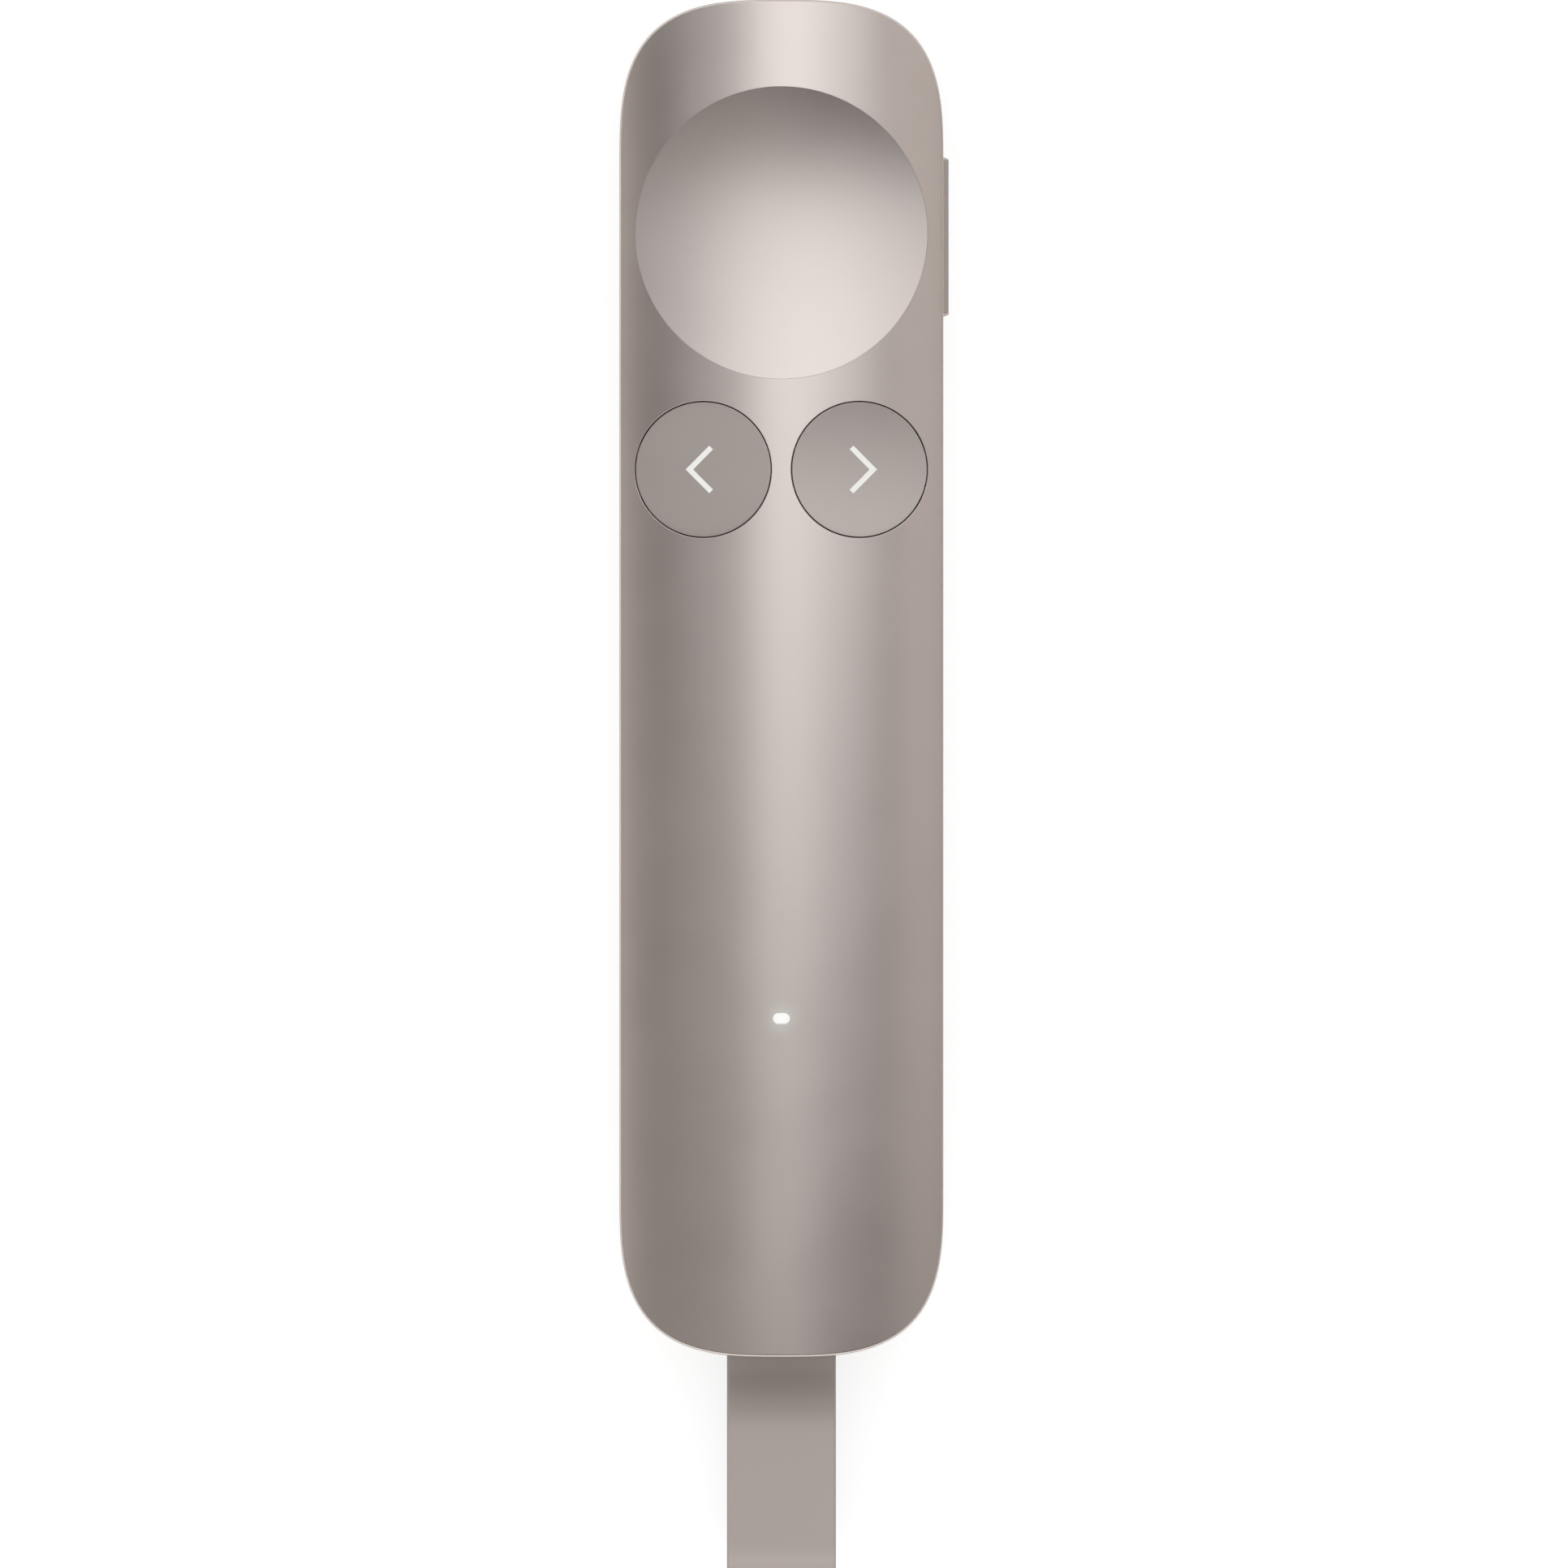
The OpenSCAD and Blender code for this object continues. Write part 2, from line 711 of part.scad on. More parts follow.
// Everything above a plane that lies the given lift over a key's tilted top plane.
module above_key_top(side, lift) {
  on_key_top(side)
    translate([-2 * key_bore_r, -2 * key_bore_r, lift])
      cube([4 * key_bore_r, 4 * key_bore_r, 2 * key_bore_r]);
}

// The drum that leaves the shallow trough across the right key's top.
module trough_drum() {
  on_key_top(1)
    translate([0, 0, trough_r])
      rotate([0, 90, 0])
        cylinder(r = trough_r, h = 4 * key_bore_r, center = true, $fn = 4 * drum_fn);
}

module left_key() {
  color([0.6, 0.56, 0.53])
    difference() {
      key_blank(-1);
      above_key_top(-1, 0);
      chevron_solid(-1);
    }
}

module right_key() {
  color([0.6, 0.56, 0.53])
    difference() {
      key_blank(1);
      above_key_top(1, trough_rise);
      trough_drum();
      chevron_solid(1);
    }
}

// The chevron's outline, which points along the given side with its arms at a right angle.
module chevron_shape(side) {
  arm = chevron_h / 2;
  band = chevron_stroke * sqrt(2);
  tip = side * chevron_tip;
  half_band = band / 2;
  polygon([[tip, 0], [tip - side * arm, arm],
    [tip - side * (arm + half_band), arm - half_band], [tip - side * band, 0],
    [tip - side * (arm + half_band), half_band - arm], [tip - side * arm, -arm]]);
}

// The chevron inlay, let into the key's top.
module chevron_solid(side) {
  rise = side < 0 ? 0 : trough_rise;
  on_key_top(side)
    translate([0, 0, -chevron_t])
      linear_extrude(chevron_t + rise)
        chevron_shape(side);
}

module left_chevron() {
  color([0.93, 0.93, 0.91])
    chevron_solid(-1);
}

module right_chevron() {
  color([0.93, 0.93, 0.91])
    difference() {
      chevron_solid(1);
      trough_drum();
    }
}

module left_key_pad() {
  color([0.3, 0.3, 0.3])
    post([-key_x, key_y], stem_d / 2, button_top, pad_top);
}

module right_key_pad() {
  color([0.3, 0.3, 0.3])
    post([key_x, key_y], stem_d / 2, button_top, pad_top);
}

module left_switch_button() {
  switch_button([-key_x, key_y]);
}

module right_switch_button() {
  switch_button([key_x, key_y]);
}

module left_key_switch() {
  switch_body([-key_x, key_y]);
}

module right_key_switch() {
  switch_body([key_x, key_y]);
}

// Side button

flange_out_x = half_w - wall - loose_gap;
flange_in_x = flange_out_x - side_flange_t;
plunger_x = flange_in_x - side_nub;
side_switch_z = board_top + side_switch_up;
side_body_x = plunger_x - side_switch_rise;

module side_button() {
  color([0.58, 0.55, 0.52])
    union() {
      translate([0, side_y, side_z - side_h / 2])
        linear_extrude(side_h)
          polygon([[flange_in_x, -side_len / 2], [half_w + side_proud - side_chamfer, -side_len / 2],
            [half_w + side_proud, side_chamfer - side_len / 2],
            [half_w + side_proud, side_len / 2 - side_chamfer],
            [half_w + side_proud - side_chamfer, side_len / 2], [flange_in_x, side_len / 2]]);
      block([flange_in_x, side_y - side_len / 2 - side_flange_over, side_z - side_h / 2 - side_flange_over],
        [flange_out_x, side_y + side_len / 2 + side_flange_over, side_z + side_h / 2 + side_flange_over]);
      block([plunger_x, side_y - side_button_r, side_switch_z - side_button_r],
        [flange_in_x + side_flange_t / 2, side_y + side_button_r, side_switch_z + side_button_r]);
    }
}

module side_switch_button() {
  color([0.15, 0.15, 0.15])
    translate([side_body_x - button_sink, side_y, side_switch_z])
      rotate([0, 90, 0])
        cylinder(r = side_button_r, h = plunger_x - side_body_x + button_sink, $fn = round_fn);
}

module side_switch() {
  color([0.72, 0.72, 0.74])
    difference() {
      block([side_body_x - side_switch_d, side_y - side_switch_w / 2, board_top],
        [side_body_x, side_y + side_switch_w / 2, board_top + side_switch_h]);
      translate([side_body_x - side_press - 2 * button_sink, side_y, side_switch_z])
        rotate([0, 90, 0])
          cylinder(r = side_button_r + slide_gap, h = over, $fn = round_fn);
    }
}

// Board and what is on it

module main_board() {
  color([0.1, 0.3, 0.18])
    difference() {
      intersection() {
        translate([0, 0, board_z])
          linear_extrude(board_t)
            outline(board_inset, inner_step);
        block([-half_w, board_low_y, board_z - over], [half_w, half_len, board_top + over]);
      }
      for (spot = screw_spots)
        post(spot, screw_hole_r, board_z - over, board_top + over);
    }
}

radio_y = (light_y + mid_screw_y) / 2;

module radio_chip() {
  color([0.08, 0.08, 0.09])
    block([-radio_w / 2, radio_y - radio_w / 2, board_top],
      [radio_w / 2, radio_y + radio_w / 2, board_top + chip_t]);
}

module radio_shield() {
  color([0.7, 0.7, 0.72])
    difference() {
      block([-shield_w / 2, radio_y - shield_len / 2, board_top],
        [shield_w / 2, radio_y + shield_len / 2, board_top + shield_h]);
      block([shield_t - shield_w / 2, radio_y - shield_len / 2 + shield_t, board_top - over],
        [shield_w / 2 - shield_t, radio_y + shield_len / 2 - shield_t, board_top + shield_h - shield_t]);
    }
}

antenna_y = dish_y + dish_r;

module chip_antenna() {
  color([0.85, 0.85, 0.82])
    block([-antenna_x - antenna_len / 2, antenna_y - antenna_w / 2, board_top],
      [antenna_len / 2 - antenna_x, antenna_y + antenna_w / 2, board_top + antenna_h]);
}

module motion_sensor() {
  color([0.1, 0.1, 0.11])
    block([-sensor_x - sensor_w / 2, dish_y - sensor_w / 2, board_top],
      [sensor_w / 2 - sensor_x, dish_y + sensor_w / 2, board_top + chip_t]);
}

module charge_chip() {
  color([0.08, 0.08, 0.09])
    block([-sensor_w / 2, tail_screw_y - sensor_w / 2, board_top],
      [sensor_w / 2, tail_screw_y + sensor_w / 2, board_top + chip_t]);
}

module status_led() {
  color([0.95, 0.95, 0.9])
    block([-led_w / 2, light_y - led_d / 2, board_top], [led_w / 2, light_y + led_d / 2, board_top + led_t]);
}

module light_pipe() {
  color([0.97, 0.97, 0.95])
    intersection() {
      translate([0, light_y, board_top + led_t])
        union() {
          linear_extrude(body_h)
            oval(light_w, light_h);
          translate([0, 0, crown_z(light_w) - plate_t - slide_gap - tab_t - board_top - led_t])
            linear_extrude(tab_t)
              oval(light_w + 2 * light_collar, light_h + 2 * light_collar);
        }
      crown_drum(0);
    }
}

motor_y = key_y;

module haptic_motor() {
  color([0.75, 0.75, 0.77])
    post([0, motor_y], motor_r, board_z - motor_h, board_z);
}

module motor_pad() {
  color([0.25, 0.25, 0.26])
    post([0, motor_y], motor_r - motor_pad_inset, floor_t, board_z - motor_h);
}

// Battery

module battery_cell() {
  color([0.75, 0.76, 0.78])
    block([-battery_w / 2, battery_low_y, battery_z], [battery_w / 2, battery_high_y, battery_z + battery_t]);
}

module battery_pad() {
  color([0.25, 0.25, 0.26])
    block([-foot_half, battery_low_y + battery_pad_inset, floor_t],
      [foot_half, battery_high_y - battery_pad_inset, battery_z]);
}

wire_z = battery_z + battery_t / 2;
connector_y = mid_screw_y + connector_in;

module battery_guard_board() {
  color([0.1, 0.3, 0.18])
    block([-guard_w / 2, battery_high_y, wire_z - guard_half],
      [guard_w / 2, battery_high_y + guard_t, wire_z + guard_half]);
}

module battery_wires() {
  color([0.7, 0.1, 0.08])
    for (side = [-1, 1])
      translate([side * wire_d, connector_y, wire_z])
        rotate([90, 0, 0])
          cylinder(d = wire_d, h = connector_y - battery_high_y - guard_t, $fn = round_fn);
}

module battery_connector() {
  color([0.9, 0.88, 0.82])
    block([-connector_w / 2, connector_y, wire_z - guard_half],
      [connector_w / 2, connector_y + connector_d, board_z]);
}

// Charging port

module port_shell() {
  color([0.7, 0.7, 0.72])
    difference() {
      along_y(port_y, port_back_y, port_z)
        oval(port_w, port_h);
      along_y(port_y - over, port_back_y - port_t, port_z)
        oval(port_in_w, port_in_h);
    }
}

module port_tongue() {
  color([0.1, 0.1, 0.1])
    union() {
      along_y(port_base_y, port_back_y - port_t, port_z)
        oval(port_in_w, port_in_h);
      along_y(port_base_y - tongue_len, port_base_y, port_z)
        square([tongue_w, tongue_t], center = true);
    }
}

// Receiver

module receiver_shell() {
  color([0.13, 0.13, 0.14])
    difference() {
      along_y(receiver_out_y, receiver_in_y - receiver_t, port_z)
        round_box(receiver_w, receiver_h, receiver_r);
      along_y(root_y + receiver_t, receiver_in_y, port_z)
        round_box(receiver_w - 2 * receiver_t, receiver_h - 2 * receiver_t, receiver_r - receiver_t);
      block([-strap_w / 2 - slide_gap, receiver_out_y - over, port_z - root_half - slide_gap],
        [strap_w / 2 + slide_gap, root_y + slide_gap, port_z + root_half + slide_gap]);
      translate([0, pin_y, port_z])
        rotate([0, 90, 0])
          cylinder(d = pin_d, h = receiver_w - receiver_t, center = true, $fn = round_fn);
    }
}

module receiver_face() {
  color([0.13, 0.13, 0.14])
    difference() {
      along_y(receiver_in_y - receiver_t, receiver_in_y, port_z)
        round_box(receiver_w, receiver_h, receiver_r);
      along_y(receiver_in_y - receiver_t - over, receiver_in_y + over, port_z)
        oval(plug_w, plug_h);
    }
}

module plug_shell() {
  color([0.75, 0.75, 0.77])
    along_y(receiver_in_y - 2 * receiver_t, receiver_in_y + plug_len, port_z)
      difference() {
        oval(plug_w, plug_h);
        oval(plug_w - 2 * plug_t, plug_h - 2 * plug_t);
      }
}

module plug_insert() {
  color([0.1, 0.1, 0.1])
    difference() {
      along_y(receiver_in_y - 2 * receiver_t, receiver_in_y + plug_len - receiver_t / 2, port_z)
        oval(plug_w - 2 * plug_t, plug_h - 2 * plug_t);
      along_y(port_base_y - tongue_len - 2 * loose_gap, receiver_in_y + plug_len + over, port_z)
        square([tongue_w + 2 * loose_gap, tongue_t + 2 * loose_gap], center = true);
    }
}

module receiver_board() {
  color([0.1, 0.3, 0.18])
    block([receiver_t + loose_gap - receiver_w / 2, root_y + receiver_t + loose_gap, port_z - board_t / 2],
      [receiver_w / 2 - receiver_t - loose_gap, receiver_in_y - 2 * receiver_t, port_z + board_t / 2]);
}

module receiver_chip() {
  color([0.08, 0.08, 0.09])
    block([-sensor_w / 2, root_y + 2 * receiver_t, port_z + board_t / 2],
      [sensor_w / 2, root_y + 2 * receiver_t + sensor_w, port_z + board_t / 2 + chip_t]);
}

module strap_pin() {
  color([0.7, 0.7, 0.72])
    translate([0, pin_y, port_z])
      rotate([0, 90, 0])
        cylinder(d = pin_d, h = receiver_w - receiver_t, center = true, $fn = round_fn);
}

// Strap

loop_r = loop_h / 2;
loop_end_y = strap_end_y + loop_r;
neck_y = receiver_out_y - neck_len;
spread_low_y = neck_y - strap_spread;
spread_steps = 16;

// The half height of the strap along its spread, easing from the root to the loop.
function spread_half(share) = root_half + (loop_r - root_half) * (1 - cos(180 * share)) / 2;

// The strap's outline from the side, drawn in by the inset.
module strap_side(inset) {
  top = [for (i = [0:spread_steps])
    [neck_y - strap_spread * i / spread_steps, spread_half(i / spread_steps) - inset]];
  low = [for (i = [spread_steps:-1:0])
    [neck_y - strap_spread * i / spread_steps, inset - spread_half(i / spread_steps)]];
  polygon(concat(top, low));
  translate([loop_end_y, inset - loop_r])
    square([spread_low_y - loop_end_y, loop_h - 2 * inset]);
  translate([loop_end_y, 0])
    circle(r = loop_r - inset, $fn = round_fn);
}

module strap_loop() {
  color([0.5, 0.48, 0.46])
    difference() {
      translate([-strap_w / 2, 0, port_z])
        rotate([90, 0, 90])
          linear_extrude(strap_w)
            difference() {
              union() {
                strap_side(0);
                translate([neck_y, -root_half])
                  square([root_y - neck_y, 2 * root_half]);
              }
              strap_side(strap_t);
            }
      translate([0, pin_y, port_z])
        rotate([0, 90, 0])
          cylinder(d = pin_d, h = receiver_w, center = true, $fn = round_fn);
    }
}

front_shell();
rear_shell();
inner_frame();
housing_screws();
bay_sleeve();
pointer_dish();
dish_pad();
dish_switch_button();
dish_switch();
left_key();
left_chevron();
left_key_pad();
left_switch_button();
left_key_switch();
right_key();
right_chevron();
right_key_pad();
right_switch_button();
right_key_switch();
side_button();
side_switch_button();
side_switch();
main_board();
radio_chip();
radio_shield();
chip_antenna();
motion_sensor();
charge_chip();
status_led();
light_pipe();
haptic_motor();
motor_pad();
battery_cell();
battery_pad();
battery_guard_board();
battery_wires();
battery_connector();
port_shell();
port_tongue();
receiver_shell();
receiver_face();
plug_shell();
plug_insert();
receiver_board();
receiver_chip();
strap_pin();
strap_loop();
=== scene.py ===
"""A wireless presentation clicker in satin champagne metal, seen from straight above.

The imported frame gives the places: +Y is the nose with the round dish, +X the side with the slim
button, Z is up out of the button face.
"""
import math

import bpy
import numpy as np
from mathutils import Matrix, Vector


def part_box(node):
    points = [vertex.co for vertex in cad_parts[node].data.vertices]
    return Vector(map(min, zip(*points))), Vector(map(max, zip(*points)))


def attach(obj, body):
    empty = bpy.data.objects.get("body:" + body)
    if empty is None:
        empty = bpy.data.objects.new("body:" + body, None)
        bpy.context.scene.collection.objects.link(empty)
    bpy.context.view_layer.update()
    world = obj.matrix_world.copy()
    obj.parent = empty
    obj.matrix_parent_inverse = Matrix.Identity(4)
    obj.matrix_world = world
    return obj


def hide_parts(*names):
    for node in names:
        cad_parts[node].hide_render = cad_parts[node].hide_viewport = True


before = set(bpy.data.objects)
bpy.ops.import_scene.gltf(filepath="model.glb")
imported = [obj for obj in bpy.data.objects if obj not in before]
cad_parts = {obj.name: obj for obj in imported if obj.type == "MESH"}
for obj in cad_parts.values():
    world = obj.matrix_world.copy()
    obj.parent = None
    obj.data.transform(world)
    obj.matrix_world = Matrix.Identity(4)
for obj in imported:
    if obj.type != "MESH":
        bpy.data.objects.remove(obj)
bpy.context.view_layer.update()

MM = 0.001
UP = np.array([0.0, 0.0, 1.0])


# Sizes

def node_box(name):
    """A CAD node's lowest and highest corners, in millimetres."""
    low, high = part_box(name)
    return np.array(low) / MM, np.array(high) / MM


shell_low, shell_high = node_box("front_shell")
half_width = shell_high[0]
half_length = shell_high[1]
top_z = shell_high[2]
seam_z = shell_low[2]

crown_r = 60.0
back_r = 60.0
rest_cut = 0.35
rest_soft = 0.003
end_reach = 15.1
end_power = 3.1
wall = 1.1
plate = 1.2
floor_t = 1.1
lip_inset = 1.16
lip_t = 0.8
lip_rise = 1.2
straight = half_length - end_reach
near_gap = 0.1
crown_axis_z = top_z - crown_r
back_axis_z = back_r - rest_cut

edge_r = 0.25
seam_r = 0.09
back_edge_r = 0.5

dish_low, dish_high = node_box("pointer_dish")
dish_r = dish_high[0] + 0.04
dish_y = (dish_low[1] + dish_high[1]) / 2
dish_depth = 0.9
dish_bore_r = dish_high[0] + 0.05
dish_rim = 0.012
dish_sink = 0.004

key_low, key_high = node_box("right_key")
key_x = (key_low[0] + key_high[0]) / 2
key_y = (key_low[1] + key_high[1]) / 2
key_r = (key_high[0] - key_low[0]) / 2 - 0.02
key_bore_r = (key_high[0] - key_low[0]) / 2 + 0.09
key_rim = 0.05
key_under_z = 10.3
key_flush = 0.024
trough_r = 185.0
trough_dy = -3.6
trough_sink = 0.09
key_round_r = {-1: 300.0, 1: 900.0}

window_low, window_high = node_box("light_pipe")
window_y = (window_low[1] + window_high[1]) / 2
window_w = 1.6
window_h = 1.0
window_gap = 0.03
window_rim = 0.03

button_low, button_high = node_box("side_button")
button_y = (button_low[1] + button_high[1]) / 2
button_len = 14.8
button_h = 2.4
button_z = (button_low[2] + button_high[2]) / 2
slot_gap = 0.06

receiver_low, receiver_high = node_box("receiver_shell")
port_z = (receiver_low[2] + receiver_high[2]) / 2
bay_w = receiver_high[0] - receiver_low[0] + 0.24
bay_h = receiver_high[2] - receiver_low[2] + 0.24
bay_r = 2.12
bay_reach = 8.6

strap_low, strap_high = node_box("strap_loop")

screw_low, screw_high = node_box("housing_screws")
screw_head_r = 1.3
screw_x = screw_high[0] - screw_head_r
tail_screw_y = screw_low[1] + screw_head_r
nose_screw_y = screw_high[1] - screw_head_r
screws_below_keys = 15.5
mid_screw_y = key_y - screws_below_keys
boss_r = 1.8
boss_hole_r = 0.725
boss_z = 7.6
boss_bite = 2.6


# Building surfaces

class Skin:
    """A mesh put together from patches, each a grid of points with their normals.

    A patch is a function of two parameters, worked out as whole arrays. Patches that share an edge
    share its points, which are merged at the end, and every face is turned to agree with its normals.
    """

    def __init__(self):
        self.points, self.normals, self.faces, self.count = [], [], [], 0

    def add(self, points, normals):
        """Adds a rows by columns grid of points with normals of the same shape."""
        points, normals = np.broadcast_arrays(points, normals)
        rows, cols = points.shape[:2]
        index = np.arange(rows * cols).reshape(rows, cols)
        quads = np.stack([index[:-1, :-1], index[:-1, 1:], index[1:, 1:], index[1:, :-1]], -1).reshape(-1, 4)
        own, up = points.reshape(-1, 3), normals.reshape(-1, 3)
        across = np.cross(own[quads[:, 2]] - own[quads[:, 0]], own[quads[:, 3]] - own[quads[:, 1]])
        turned = (across * up[quads].sum(1)).sum(1) < 0
        quads[turned] = quads[turned][:, ::-1]
        self.points.append(own)
        self.normals.append(up)
        self.faces.append(quads + self.count)
        self.count += rows * cols


facing_steps = 3


def skin_object(name, skin, merge=0.0004):
    """Makes one mesh of a skin's patches: points in one cell of the merge size that face alike become one."""
    points = np.concatenate(skin.points)
    normals = np.concatenate(skin.normals)
    faces = np.concatenate(skin.faces)
    cell = np.round(points / merge).astype(np.int64)
    toward = np.round(unit(normals) * facing_steps).astype(np.int64)
    _, first, same = np.unique(np.c_[cell, toward], axis=0, return_index=True, return_inverse=True)
    polygons = [tuple(dict.fromkeys(face)) for face in same.reshape(-1)[faces].tolist()]
    mesh = bpy.data.meshes.new(name)
    mesh.from_pydata((points[first] * MM).tolist(), [], [p for p in polygons if len(p) > 2])
    mesh.polygons.foreach_set("use_smooth", np.ones(len(mesh.polygons), bool))
    mesh.update()
    exact = mesh.attributes.new("custom_normal", "FLOAT_VECTOR", "POINT")
    exact.data.foreach_set("vector", unit(normals[first]).astype(np.float32).ravel())
    return put(name, mesh)


def put(name, data):
    """A new object in the scene."""
    thing = bpy.data.objects.new(name, data)
    bpy.context.scene.collection.objects.link(thing)
    return thing


def unit(v):
    """Vectors divided by their own lengths."""
    return v / np.maximum(np.linalg.norm(v, axis=-1, keepdims=True), 1e-12)


def flat(x, y):
    """Two arrays or numbers as one array of plan points."""
    return np.stack(np.broadcast_arrays(x, y), -1)


def vec(x, y, z):
    """Three arrays or numbers as one array of points."""
    return np.stack(np.broadcast_arrays(x, y, z), -1).astype(float)


# The body's outline and its two drums

def dense_outline():
    """The body's outline seen from above, counter-clockwise from the right side's middle.

    Each end is a superellipse: |x / half width| to the end power plus |y / reach| to the end power
    is one. The normal is its gradient. Returns x, y, the normal's x and y, and the length so far.
    """
    t = np.radians(np.linspace(0, 180, 7201))
    c, s = np.cos(t), np.sin(t)
    x = half_width * np.sign(c) * np.abs(c) ** (2 / end_power)
    y = straight + end_reach * np.abs(s) ** (2 / end_power)
    nx = np.sign(c) * np.abs(c) ** (2 - 2 / end_power) / half_width
    ny = np.abs(s) ** (2 - 2 / end_power) / end_reach
    x = np.concatenate([[half_width], x, -x, [half_width]])
    y = np.concatenate([[0], y, -y, [0]])
    nx = np.concatenate([[1], nx, -nx, [1]])
    ny = np.concatenate([[0], ny, -ny, [0]])
    size = np.hypot(nx, ny)
    run = np.concatenate([[0], np.cumsum(np.hypot(np.diff(x), np.diff(y)))])
    return x, y, nx / size, ny / size, run


def outline_stations(marks, spacing):
    """Lengths along the outline: the marks, with even steps of about the spacing between them."""
    stops = sorted(set([0.0, dense[4][-1]] + [float(m) for m in marks]))
    parts = [np.linspace(a, b, max(1, math.ceil((b - a) / spacing)) + 1)[:-1]
             for a, b in zip(stops, stops[1:])]
    return np.concatenate(parts + [[stops[-1]]])


def outline_at(run):
    """Points and normals of the outline at lengths along it."""
    x, y, nx, ny = (np.interp(run, dense[4], values) for values in dense[:4])
    return flat(x, y), unit(flat(nx, ny))


def crown_point(xy, drop=0.0):
    """The crown over plan points, lowered along its normals, and those normals."""
    r = crown_r - drop
    up = np.sqrt(r * r - xy[..., 0] ** 2)
    return vec(xy[..., 0], xy[..., 1], crown_axis_z + up), vec(xy[..., 0] / r, 0, up / r)


def crown_z(x, drop=0.0):
    """The crown's height at a distance from the middle line, lowered along its normals."""
    return crown_axis_z + math.sqrt((crown_r - drop) ** 2 - x ** 2)


def softly(z):
    """Heights softly held above zero, as half of the height plus its soft size, and the slope of that."""
    soft = np.sqrt(z ** 2 + rest_soft)
    return (z + soft) / 2, (1 + z / soft) / 2


def back_point(xy, drop=0.0):
    """The rounded back with its flat rest, under plan points: the drum's height, softly held above zero."""
    r = back_r - drop
    up = np.sqrt(r * r - xy[..., 0] ** 2)
    height, slope = softly(back_axis_z - up - drop)
    return vec(xy[..., 0], xy[..., 1], height + drop), unit(vec(slope * xy[..., 0] / up, 0, -1))


def round_over(points, normals, radius, axis_z, drum_r, steps):
    """A rounded edge between a drum's outside and an upright wall.

    A ball of the radius rolls inside both; the direction from its centre turns evenly from the
    drum's normal to the wall's. Returns the rows from the drum to the wall, with their normals.
    """
    centre = points - radius * normals
    side = 1 if drum_r > 0 else -1
    r = abs(drum_r) - radius
    up = np.sqrt(r * r - centre[:, 0] ** 2)
    mid = vec(centre[:, 0], centre[:, 1], axis_z + side * up)
    start = vec(centre[:, 0] / r, 0, side * up / r)
    end = vec(*normals.T, 0)
    angle = np.arccos(np.clip((start * end).sum(-1), -1, 1))[None, :, None]
    share = np.linspace(0, 1, steps + 1)[:, None, None]
    way = (np.sin((1 - share) * angle) * start + np.sin(share * angle) * end) / np.sin(angle)
    return mid + radius * way, way


def held_above(rows, ways):
    """Rows softly held above zero as the back is; the normals follow."""
    height, slope = softly(rows[..., 2])
    return vec(rows[..., 0], rows[..., 1], height), unit(ways * vec(slope, slope, 1))


def pill_at(centre, w, h, angles):
    """Where rays from a flat oval's centre meet it, and the directions into it.

    Its ends are half circles, so one as high as wide is a circle.
    """
    c, s = np.cos(angles), np.sin(angles)
    mid = (w - h) / 2
    straight_side = np.abs(c) * (h / 2) <= mid * np.abs(s)
    side = np.sign(c) + (c == 0)
    root = mid * np.abs(c) + np.sqrt(np.maximum((mid * c) ** 2 - mid * mid + h * h / 4, 0))
    reach = np.where(straight_side, (h / 2) / np.maximum(np.abs(s), 1e-9), root)
    points = flat(reach * c, reach * s)
    hub = flat(np.where(straight_side, points[:, 0], side * mid), 0.0)
    return points + np.array(centre), unit(hub - points)


def spread(inner, outer, shares):
    """Rows of plan points from an inner line to an outer line."""
    shares = np.asarray(shares)[:, None, None]
    return inner[None] * (1 - shares) + outer[None] * shares


# The front shell

dense = dense_outline()
run_of_nose = dense[4][np.argmax(dense[1])]
total_run = dense[4][-1]


def right_mark(y):
    """The length along the outline at a height y on the right side."""
    part = (dense[4] <= run_of_nose) & (dense[1] >= 0) if y >= 0 else dense[4] >= total_run - run_of_nose
    return float(np.interp(y, dense[1][part], dense[4][part]))


def left_mark(y):
    """The length along the outline at a height y on the left side."""
    left = (dense[4] >= run_of_nose) & (dense[4] <= total_run - run_of_nose)
    return float(np.interp(-y, -dense[1][left], dense[4][left]))


def tail_mark(x):
    """The length along the outline at a place x across the tail."""
    tail = (dense[1] < 0) & (np.abs(dense[0]) < half_width - 1e-6)
    return float(np.interp(x, dense[0][tail], dense[4][tail]))


keys_land = 1.5
window_land = 3.0
station_step = 0.7
plate_steps = 80
above_keys_y = (dish_y - dish_bore_r + key_y + key_bore_r) / 2
below_keys_y = key_y - key_bore_r - keys_land
above_window_y = window_y + window_land
slot_low_y = button_y - button_len / 2 - slot_gap
slot_high_y = button_y + button_len / 2 + slot_gap
slot_low_z = button_z - button_h / 2 - slot_gap
slot_high_z = button_z + button_h / 2 + slot_gap

marks = {
    "slot": (right_mark(slot_low_y), right_mark(slot_high_y)),
    "bay": (tail_mark(-bay_reach), tail_mark(bay_reach)),
}
for name, y in (("above_keys", above_keys_y), ("below_keys", below_keys_y), ("above_window", above_window_y)):
    marks[name] = (right_mark(y), left_mark(y))
stations = outline_stations([m for pair in marks.values() for m in pair], station_step)
rim_points, rim_normals = outline_at(stations)


def station(mark):
    """The index of the station at a mark."""
    return int(np.argmin(np.abs(stations - mark)))


def loop_slice(start, end):
    """Station indices from one mark to another, going round past the start where needed."""
    a, b = station(start), station(end)
    if a <= b:
        return np.arange(a, b + 1)
    return np.concatenate([np.arange(a, len(stations) - 1), np.arange(0, b + 1)])


